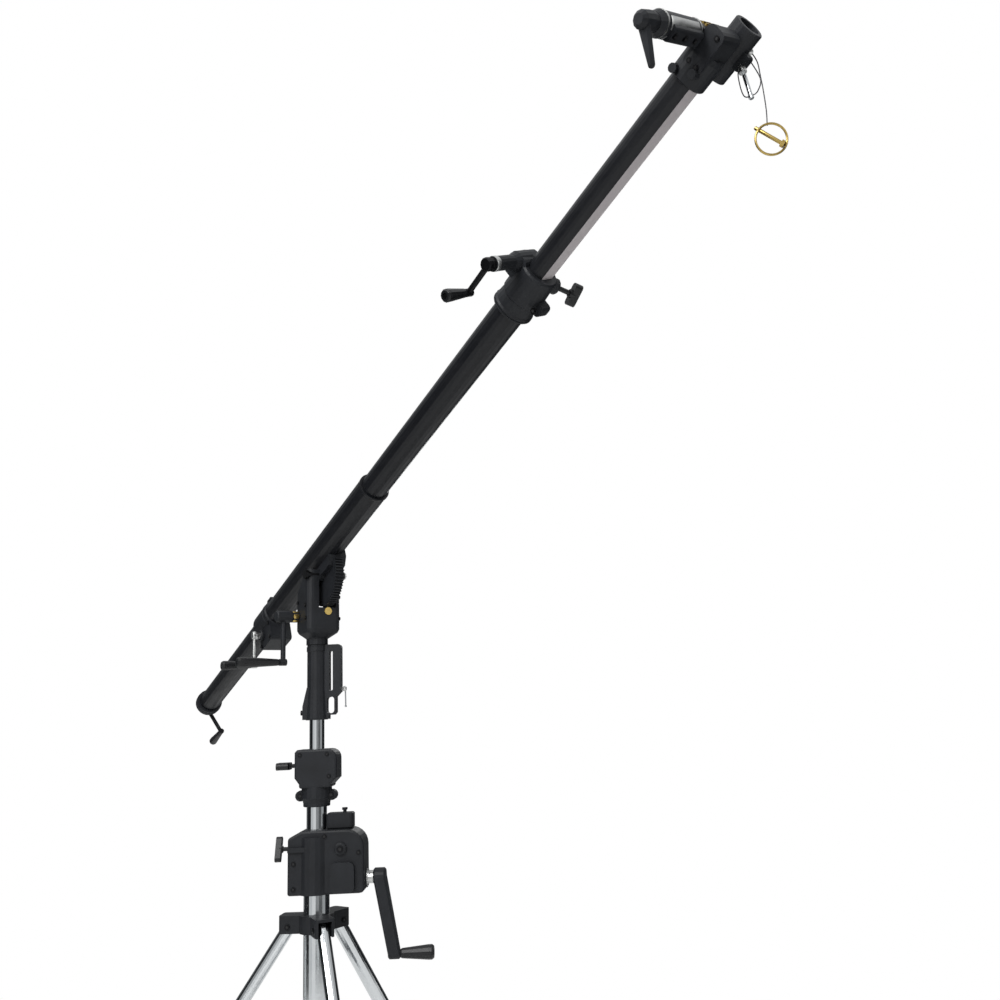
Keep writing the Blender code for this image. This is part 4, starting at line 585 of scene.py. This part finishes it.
# %% Nuts and eyes of the cranks
tilt_at = spot(YOKE, "tilt_crank_turn")
tilt_shaft = facing(YOKE, (tilt_at.x, 0.0, tilt_at.z), (0, -1, 0))
nut = [(11.9, 37.0), (12.6, 38.2), (12.6, 48.6), (11.9, 49.8), (11.2, 49.8), (11.2, 37.0)]
turned("tilt_shaft_nut", nut, tilt_shaft, brass, "tilt_crank", 6, True)
roll_at = spot(BOOM, "roll_crank_turn")
roll_shaft = facing(BOOM, (roll_at.x, 0.0, roll_at.z), (0, -1, 0))
sleeve = [(9.1, 38.6), (9.4, 39.4), (9.4, 46.4), (9.1, 47.2), (8.8, 47.2), (8.8, 38.6)]
turned("roll_shaft_collar", sleeve, roll_shaft, zinc, "roll_crank", 40, True)
feed_at = spot(ROLLED, "extension_crank_turn")
feed = facing(ROLLED, (feed_at.x, 0.0, feed_at.z), (0, -1, 0))
bush = [(11.2, 71.0), (11.5, 72.0), (11.5, 78.6), (11.2, 79.4), (10.8, 79.4), (10.8, 71.0)]
turned("feed_shaft_bush", bush, feed, zinc, "boom", 40, True)
print("crank hardware made")

# %% [markdown]
# The tilt axle is black, and only the rounded end past its nut is bright. A plain washer sits
# behind the winch crank's shoulder.

# %% Cap of the tilt axle and washer of the winch shaft
axle_at = spot(YOKE, "tilt_turn")
axle = facing(YOKE, (axle_at.x, 0.0, axle_at.z), (0, -1, 0))
cap = [(4.6, -46.9), (6.6, -46.2), (6.6, -49.8), (5.0, -50.6)]
turned("tilt_axle_cap", cap, axle, zinc, "pan_head", 40)
winch_line = facing(STAND, (0.0, 0.0, spot(STAND, "winch_turn").z), (1, 0, 0))
washer = [(16.0, 100.05), (16.0, 101.6), (12.3, 101.6), (12.3, 100.05)]
turned("winch_washer", washer, winch_line, zinc, "base", 40, True)
print("cap and washer made")

# %% [markdown]
# The socket's pull pin is held in by a small spring under its head, and a thin keeper pin hangs
# from it. A spring is a circle swept along a helix, and the Spiral primitive of Geometry Nodes
# draws that helix from four sizes, so the tree has them as named inputs.

# %% Spring of the pull pin


def new_tree(name, sizes):
    """Empty geometry tree with named float inputs."""
    tree = bpy.data.node_groups.new(name, "GeometryNodeTree")
    tree.interface.new_socket("Geometry", in_out="INPUT", socket_type="NodeSocketGeometry")
    for size, value in sizes.items():
        socket = tree.interface.new_socket(size, in_out="INPUT", socket_type="NodeSocketFloat")
        socket.default_value = value
    tree.interface.new_socket("Geometry", in_out="OUTPUT", socket_type="NodeSocketGeometry")
    return tree, tree.nodes.new("NodeGroupInput"), tree.nodes.new("NodeGroupOutput")


def evaluate(name, tree, values, start, place, body):
    """Runs a tree on a start mesh and keeps the result as a plain mesh that rides on a body."""
    holder = bpy.data.objects.new(name, start)
    bpy.context.scene.collection.objects.link(holder)
    modifier = holder.modifiers.new("build", "NODES")
    modifier.node_group = tree
    for socket in tree.interface.items_tree:
        if socket.in_out == "INPUT" and socket.name in values:
            modifier[socket.identifier] = values[socket.name]
    bpy.context.view_layer.update()
    seen = holder.evaluated_get(bpy.context.evaluated_depsgraph_get())
    mesh = bpy.data.meshes.new_from_object(seen)
    holder.modifiers.clear()
    holder.data = mesh
    mesh.transform(place)
    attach(holder, body)
    return holder


spring, given, result = new_tree(
    "coil_spring", {"Coil radius": 0.004, "Wire radius": 0.0004, "Length": 0.01, "Turns": 6.0},
)
helix = add(
    spring, "GeometryNodeCurveSpiral", None,
    {
        "Resolution": 20, "Rotations": given.outputs["Turns"],
        "Start Radius": given.outputs["Coil radius"], "End Radius": given.outputs["Coil radius"],
        "Height": given.outputs["Length"],
    },
)
wire = add(
    spring, "GeometryNodeCurvePrimitiveCircle", None,
    {"Resolution": 8, "Radius": given.outputs["Wire radius"]},
)
swept = add(
    spring, "GeometryNodeCurveToMesh", None,
    {"Curve": helix.outputs["Curve"], "Profile Curve": wire.outputs["Curve"], "Fill Caps": True},
)
solid = add(spring, "GeometryNodeRealizeInstances", None, {"Geometry": swept.outputs["Mesh"]})
dressed = add(
    spring, "GeometryNodeSetMaterial", None, {"Geometry": solid.outputs["Geometry"], "Material": zinc},
)
spring.links.new(dressed.outputs["Geometry"], result.inputs["Geometry"])

pin_at = spot(STAND, "socket_pin_pull")
pin_line = facing(STAND, (pin_at.x + 0.5, 0.0, pin_at.z), (1, 0, 0))
coil = evaluate(
    "pull_pin_spring", spring, {"Coil radius": 0.0042, "Length": 0.0036, "Turns": 3.0},
    bpy.data.meshes.new("start"), pin_line, "socket_pin",
)
print("spring has", len(coil.data.polygons), "faces")
hang = facing(STAND, (pin_at.x + 7.2, 0.0, pin_at.z - 3.0), (0.02, 0.0, -1.0))
keeper = [(1.3, 0.0), (1.3, 30.0), (2.0, 30.6), (2.0, 33.4), (1.2, 34.0)]
turned("keeper_pin", keeper, hang, chrome, "socket_pin", 24)

# %% [markdown]
# Screws hold every cover and clamp. They repeat, so one tree makes a socket-head screw and sets
# it on each point of a small mesh. The point's own direction, kept as an attribute, turns the
# screw to face out of its casting. All the screws of one body come out as one mesh.

# %% Tree for socket-head screws
shadow, tree, shader = finish_of("screw_socket_shadow", Roughness=0.8)
shader.inputs["Base Color"].default_value = colour("0B0B0C")

screws, given, result = new_tree("socket_head_screws", {"Head radius": 0.0045, "Head height": 0.003})
twice = add(
    screws, "ShaderNodeMath", {"operation": "MULTIPLY"}, {0: given.outputs["Head height"], 1: 0.5},
)
lift = add(screws, "ShaderNodeCombineXYZ", None, {"Z": twice.outputs[0]})
head = add(
    screws, "GeometryNodeMeshCylinder", None,
    {"Vertices": 28, "Radius": given.outputs["Head radius"], "Depth": given.outputs["Head height"]},
)
raised = add(
    screws, "GeometryNodeTransform", None,
    {"Geometry": head.outputs["Mesh"], "Translation": lift.outputs[0]},
)
coated = add(
    screws, "GeometryNodeSetMaterial", None,
    {"Geometry": raised.outputs["Geometry"], "Material": black_oxide},
)
narrow = add(
    screws, "ShaderNodeMath", {"operation": "MULTIPLY"}, {0: given.outputs["Head radius"], 1: 0.55},
)
recess = add(
    screws, "GeometryNodeMeshCylinder", None,
    {"Vertices": 6, "Radius": narrow.outputs[0], "Depth": 0.0004},
)
top = add(screws, "ShaderNodeCombineXYZ", None, {"Z": given.outputs["Head height"]})
sunk = add(
    screws, "GeometryNodeTransform", None,
    {"Geometry": recess.outputs["Mesh"], "Translation": top.outputs[0]},
)
dark = add(
    screws, "GeometryNodeSetMaterial", None, {"Geometry": sunk.outputs["Geometry"], "Material": shadow},
)
screw = add(screws, "GeometryNodeJoinGeometry")
screws.links.new(coated.outputs["Geometry"], screw.inputs["Geometry"])
screws.links.new(dark.outputs["Geometry"], screw.inputs["Geometry"])
out = add(screws, "GeometryNodeInputNamedAttribute", {"data_type": "FLOAT_VECTOR"}, {"Name": "out"})
aim = add(
    screws, "FunctionNodeAlignRotationToVector", {"axis": "Z"}, {"Vector": out.outputs["Attribute"]},
)
each = add(
    screws, "GeometryNodeInstanceOnPoints", None,
    {
        "Points": given.outputs["Geometry"], "Instance": screw.outputs["Geometry"],
        "Rotation": aim.outputs["Rotation"],
    },
)
solid = add(screws, "GeometryNodeRealizeInstances", None, {"Geometry": each.outputs["Instances"]})
screws.links.new(solid.outputs["Geometry"], result.inputs["Geometry"])


def screw_points(base, places):
    """Point mesh with the direction that each screw faces; places are in millimetres."""
    mesh = bpy.data.meshes.new("screw_points")
    mesh.from_pydata([base @ (Vector(point) * MM) for point, _ in places], [], [])
    attribute = mesh.attributes.new("out", "FLOAT_VECTOR", "POINT")
    for entry, (_, direction) in zip(attribute.data, places):
        entry.vector = base.to_3x3() @ Vector(direction)
    return mesh


def screw_set(name, base, places, body, radius, height):
    """Screws of one size on one body, as one mesh."""
    values = {"Head radius": radius * MM, "Head height": height * MM}
    points = screw_points(base, places)
    evaluate(name, screws, values, points, Matrix.Identity(4), body)
    print(name, len(places), "screws")


# %% [markdown]
# The places follow the castings: the winch cover's corners, the two waist bolts of the upper
# brake, the cradle's gearbox, the collar's clamp and the head. Each point lies on its casting's
# face, a hair inside it, so that no head floats.

# %% Screws, casting by casting
FRONT = (0, -1, 0)
REAR = (0, 1, 0)
winch_face = [((x, -33.9, z), FRONT) for x, z in ((-38, 1026), (88, 1088), (22, 1120), (-38, 1072))]
winch_face += [((x, 33.9, z), REAR) for x, z in ((-38, 1026), (86, 1026), (-38, 1106), (60, 1118))]
screw_set("winch_cover_screws", STAND, winch_face, "base", 4.2, 2.4)
screw_set("winch_gear_cap", STAND, [((53, -39.9, 1096), FRONT)], "base", 6.2, 1.6)

waist = [((side * 31, -10.9, 1195), FRONT) for side in (-1, 1)]
waist += [((side * 31, 10.9, 1195), REAR) for side in (-1, 1)]
screw_set("waist_bolts", STAND, waist, "mid_stage", 5.2, 3.4)
brake_face = [((x, -29.9, z), FRONT) for x, z in ((30, 1232), (-28, 1274), (26, 1274))]
screw_set("brake_cover_screws", STAND, brake_face, "mid_stage", 3.8, 2.0)

screw_set("socket_bolt", STAND, [((-26.9, 0, 1356), (-1, 0, 0))], "top_stage", 5.0, 6.0)
yoke_face = [((x, -35.9, z), FRONT) for x, z in ((-16, 1580), (22, 1572), (24, 1545))]
yoke_face += [((x, 37.9, z), REAR) for x, z in ((-16, 1545), (24, 1545), (24, 1590))]
screw_set("yoke_screws", YOKE, yoke_face, "pan_head", 3.8, 2.0)

gearbox = [((x, -23.9, z), FRONT) for x, z in ((-238, -24), (-238, -57), (-289, -58))]
gearbox += [((x, 23.9, z), REAR) for x, z in ((-238, -24), (-238, -57), (-289, -58))]
gearbox += [((-244, -11.9, 34), FRONT)]
screw_set("gearbox_screws", BOOM, gearbox, "cradle", 4.0, 2.4)

collar = [((817, -13.9, -38), FRONT), ((833, -17.9, 38), FRONT)]
screw_set("collar_screws", ROLLED, collar, "boom", 4.4, 2.8)
head_face = [((x, -23.9, z), FRONT) for x, z in ((1219, 3), (1219, -10), (1258, -9))]
screw_set("head_screws", ROLLED, head_face, "arm", 3.4, 1.8)
clamp_row = [((RECEIVER_STATION, y, 3.1), (0, 0, -1)) for y in (-44, -68, -92)]
screw_set("clamp_screws", ROLLED, clamp_row, "arm", 3.4, 2.4)

# %% [markdown]
# The spider's arms are pinned to the legs. Each pin shows as a domed end on both sides of its
# arm. The three arms stand at 120 degrees, and the middle of the three is behind the column.

# %% Pin ends on the spider
LEG_AZIMUTHS = (55.0, 175.0, 295.0)
HINGE_RADIUS = 52.0
HINGE_HEIGHT = 956.0
HALF_ARMS = (20.4, 18.4, 18.4)
for azimuth, half in zip(LEG_AZIMUTHS, HALF_ARMS):
    arm = STAND @ Matrix.Rotation(math.radians(azimuth), 4, "Z")
    ends = [((HINGE_RADIUS, side * half, HINGE_HEIGHT), (0, side, 0)) for side in (-1, 1)]
    screw_set(f"leg_pin_{int(azimuth)}", arm, ends, "base", 5.0, 2.4)

# %% [markdown]
# Raised rings turned on the castings' collars break up the long plain rounds: one each on the rear
# housing, the front collar and the rear cap. A wider bead rounds the front end of the boom's
# sleeve.

# %% Beads and ring lines
rings = (
    ("sleeve_bead", BOOM, "cradle", 30.0, 277.0, 5.5, satin_black, "black_paint"),
    ("housing_ring", BOOM, "cradle", 32.8, -245.0, 3.0, cast_coat, "cast_black"),
    ("collar_ring", ROLLED, "boom", 33.6, 781.0, 2.4, cast_coat, "cast_black"),
    ("cap_ring", ROLLED, "boom", 31.8, -741.0, 2.6, cast_coat, "cast_black"),
)
FOOT, CROWN, ROOT = 0.1, 0.9, 0.4
for name, base, body, radius, station, width, finish, slot in rings:
    line = facing(base, (station, 0, 0), (1, 0, 0))
    bead = [
        (radius + FOOT, 0.0), (radius + CROWN, width * 0.25), (radius + CROWN, width * 0.75),
        (radius + FOOT, width), (radius - ROOT, width), (radius - ROOT, 0.0),
    ]
    turned(name, bead, line, finish, body, 64, True)
print("rings:", len(rings))

# %% [markdown]
# The floor is a pale disc that fades into white towards its rim, for the camera only, so that it
# keeps the stand's shadow. A large soft lamp stands to the left of the boom's head, a smaller one
# is close to the head, a weaker one lights the right side, and a strip behind picks out the tubes.
#
# The camera sees a white room. Everything else sees walls in light and dark bands under a bright
# ceiling, as in a studio with black flags, which gives the chrome its long dark streaks.

# %% Floor
FLOOR_RADIUS = 3.4
FLOOR_STEPS = 48
FLOOR_DROP = 0.0005
floor_paint, tree, shader = finish_of("studio_floor", Roughness=0.85)
shader.inputs["Base Color"].default_value = colour("F1F1F0")
where = add(tree, "ShaderNodeTexCoord")
reach = add(tree, "ShaderNodeVectorMath", {"operation": "LENGTH"}, {0: where.outputs["Object"]})
fade = add(
    tree, "ShaderNodeMapRange", {"interpolation_type": "SMOOTHSTEP"},
    {"Value": reach.outputs["Value"], "From Min": 1.0, "From Max": FLOOR_RADIUS - 0.2},
)
paths = add(tree, "ShaderNodeLightPath")
amount = add(
    tree, "ShaderNodeMath", {"operation": "MULTIPLY"},
    {0: fade.outputs["Result"], 1: paths.outputs["Is Camera Ray"]},
)
glow = add(tree, "ShaderNodeEmission", None, {"Color": (1.0, 1.0, 1.0, 1.0), "Strength": 1.0})
blend = add(tree, "ShaderNodeMixShader", None, {0: amount.outputs[0]})
tree.links.new(shader.outputs["BSDF"], blend.inputs[1])
tree.links.new(glow.outputs["Emission"], blend.inputs[2])
tree.links.new(blend.outputs[0], tree.nodes["Material Output"].inputs["Surface"])
maker = bmesh.new()
for step in range(FLOOR_STEPS):
    angle = 2 * math.pi * step / FLOOR_STEPS
    rim = (FLOOR_RADIUS * math.cos(angle), FLOOR_RADIUS * math.sin(angle), -FLOOR_DROP)
    maker.verts.new(rim)
maker.faces.new(maker.verts)
mesh = bpy.data.meshes.new("studio_floor")
maker.to_mesh(mesh)
maker.free()
mesh.materials.append(floor_paint)
floor = bpy.data.objects.new("studio_floor", mesh)
bpy.context.scene.collection.objects.link(floor)
print("floor laid")

# %% Lamps


def lamp(name, place, target, width, height, power):
    """Rectangular area lamp at place, aimed at target."""
    light = bpy.data.lights.new(name, "AREA")
    light.shape = "RECTANGLE"
    light.size = width
    light.size_y = height
    light.energy = power
    item = bpy.data.objects.new(name, light)
    bpy.context.scene.collection.objects.link(item)
    way = Vector(target) - Vector(place)
    aim = way.to_track_quat("-Z", "Y").to_matrix().to_4x4()
    item.matrix_world = Matrix.Translation(Vector(place)) @ aim


lamp("key_lamp", (1.0, -2.9, 3.5), (0.9, 0.0, 2.0), 2.0, 2.0, 85)
lamp("head_lamp", (1.5, -1.5, 3.0), (0.95, 0.0, 2.1), 0.7, 0.7, 24)
lamp("fill_lamp", (4.0, 1.0, 3.0), (0.9, 0.0, 1.9), 2.0, 2.0, 30)
lamp("rim_lamp", (-2.6, 2.2, 3.0), (0.0, 0.0, 1.3), 0.8, 2.4, 20)
print("lamps hung")

# %% Room
world = bpy.data.worlds.new("studio")
bpy.context.scene.world = world
world.use_nodes = True
sky = world.node_tree
background = sky.nodes["Background"]
where = add(sky, "ShaderNodeTexCoord")
parts = add(sky, "ShaderNodeSeparateXYZ", None, {"Vector": where.outputs["Generated"]})
turn_by = add(
    sky, "ShaderNodeMath", {"operation": "ARCTAN2"}, {0: parts.outputs["Y"], 1: parts.outputs["X"]},
)
share = add(
    sky, "ShaderNodeMapRange", None,
    {"Value": turn_by.outputs[0], "From Min": -math.pi, "From Max": math.pi},
)
walls = add(sky, "ShaderNodeValToRGB", None, {"Fac": share.outputs["Result"]})
WALLS = (
    (0.00, "8E9192"), (0.10, "2B2D2F"), (0.22, "1C1E20"), (0.27, "D9DBDC"), (0.40, "FFFFFF"),
    (0.47, "5A5D60"), (0.52, "26282A"), (0.60, "CFD1D2"), (0.66, "2A2C2E"), (0.80, "1C1E20"),
    (0.90, "77797B"), (1.00, "8E9192"),
)
bands = walls.color_ramp.elements
bands[0].position, bands[0].color = WALLS[0][0], colour(WALLS[0][1])
bands[1].position, bands[1].color = WALLS[-1][0], colour(WALLS[-1][1])
for place, value in WALLS[1:-1]:
    bands.new(place).color = colour(value)
height = add(
    sky, "ShaderNodeMapRange", None, {"Value": parts.outputs["Z"], "From Min": 0.35, "From Max": 0.8},
)
room = add(sky, "ShaderNodeMix", {"data_type": "RGBA"}, {"Factor": height.outputs["Result"]})
sky.links.new(walls.outputs["Color"], room.inputs[6])
room.inputs[7].default_value = colour("F4F5F6")
paths = add(sky, "ShaderNodeLightPath")
view = add(sky, "ShaderNodeMix", {"data_type": "RGBA"}, {"Factor": paths.outputs["Is Camera Ray"]})
sky.links.new(room.outputs[2], view.inputs[6])
view.inputs[7].default_value = (1.0, 1.0, 1.0, 1.0)
sky.links.new(view.outputs[2], background.inputs["Color"])
background.inputs["Strength"].default_value = 1.0
bpy.context.scene.view_settings.view_transform = "Standard"
print("studio ready")
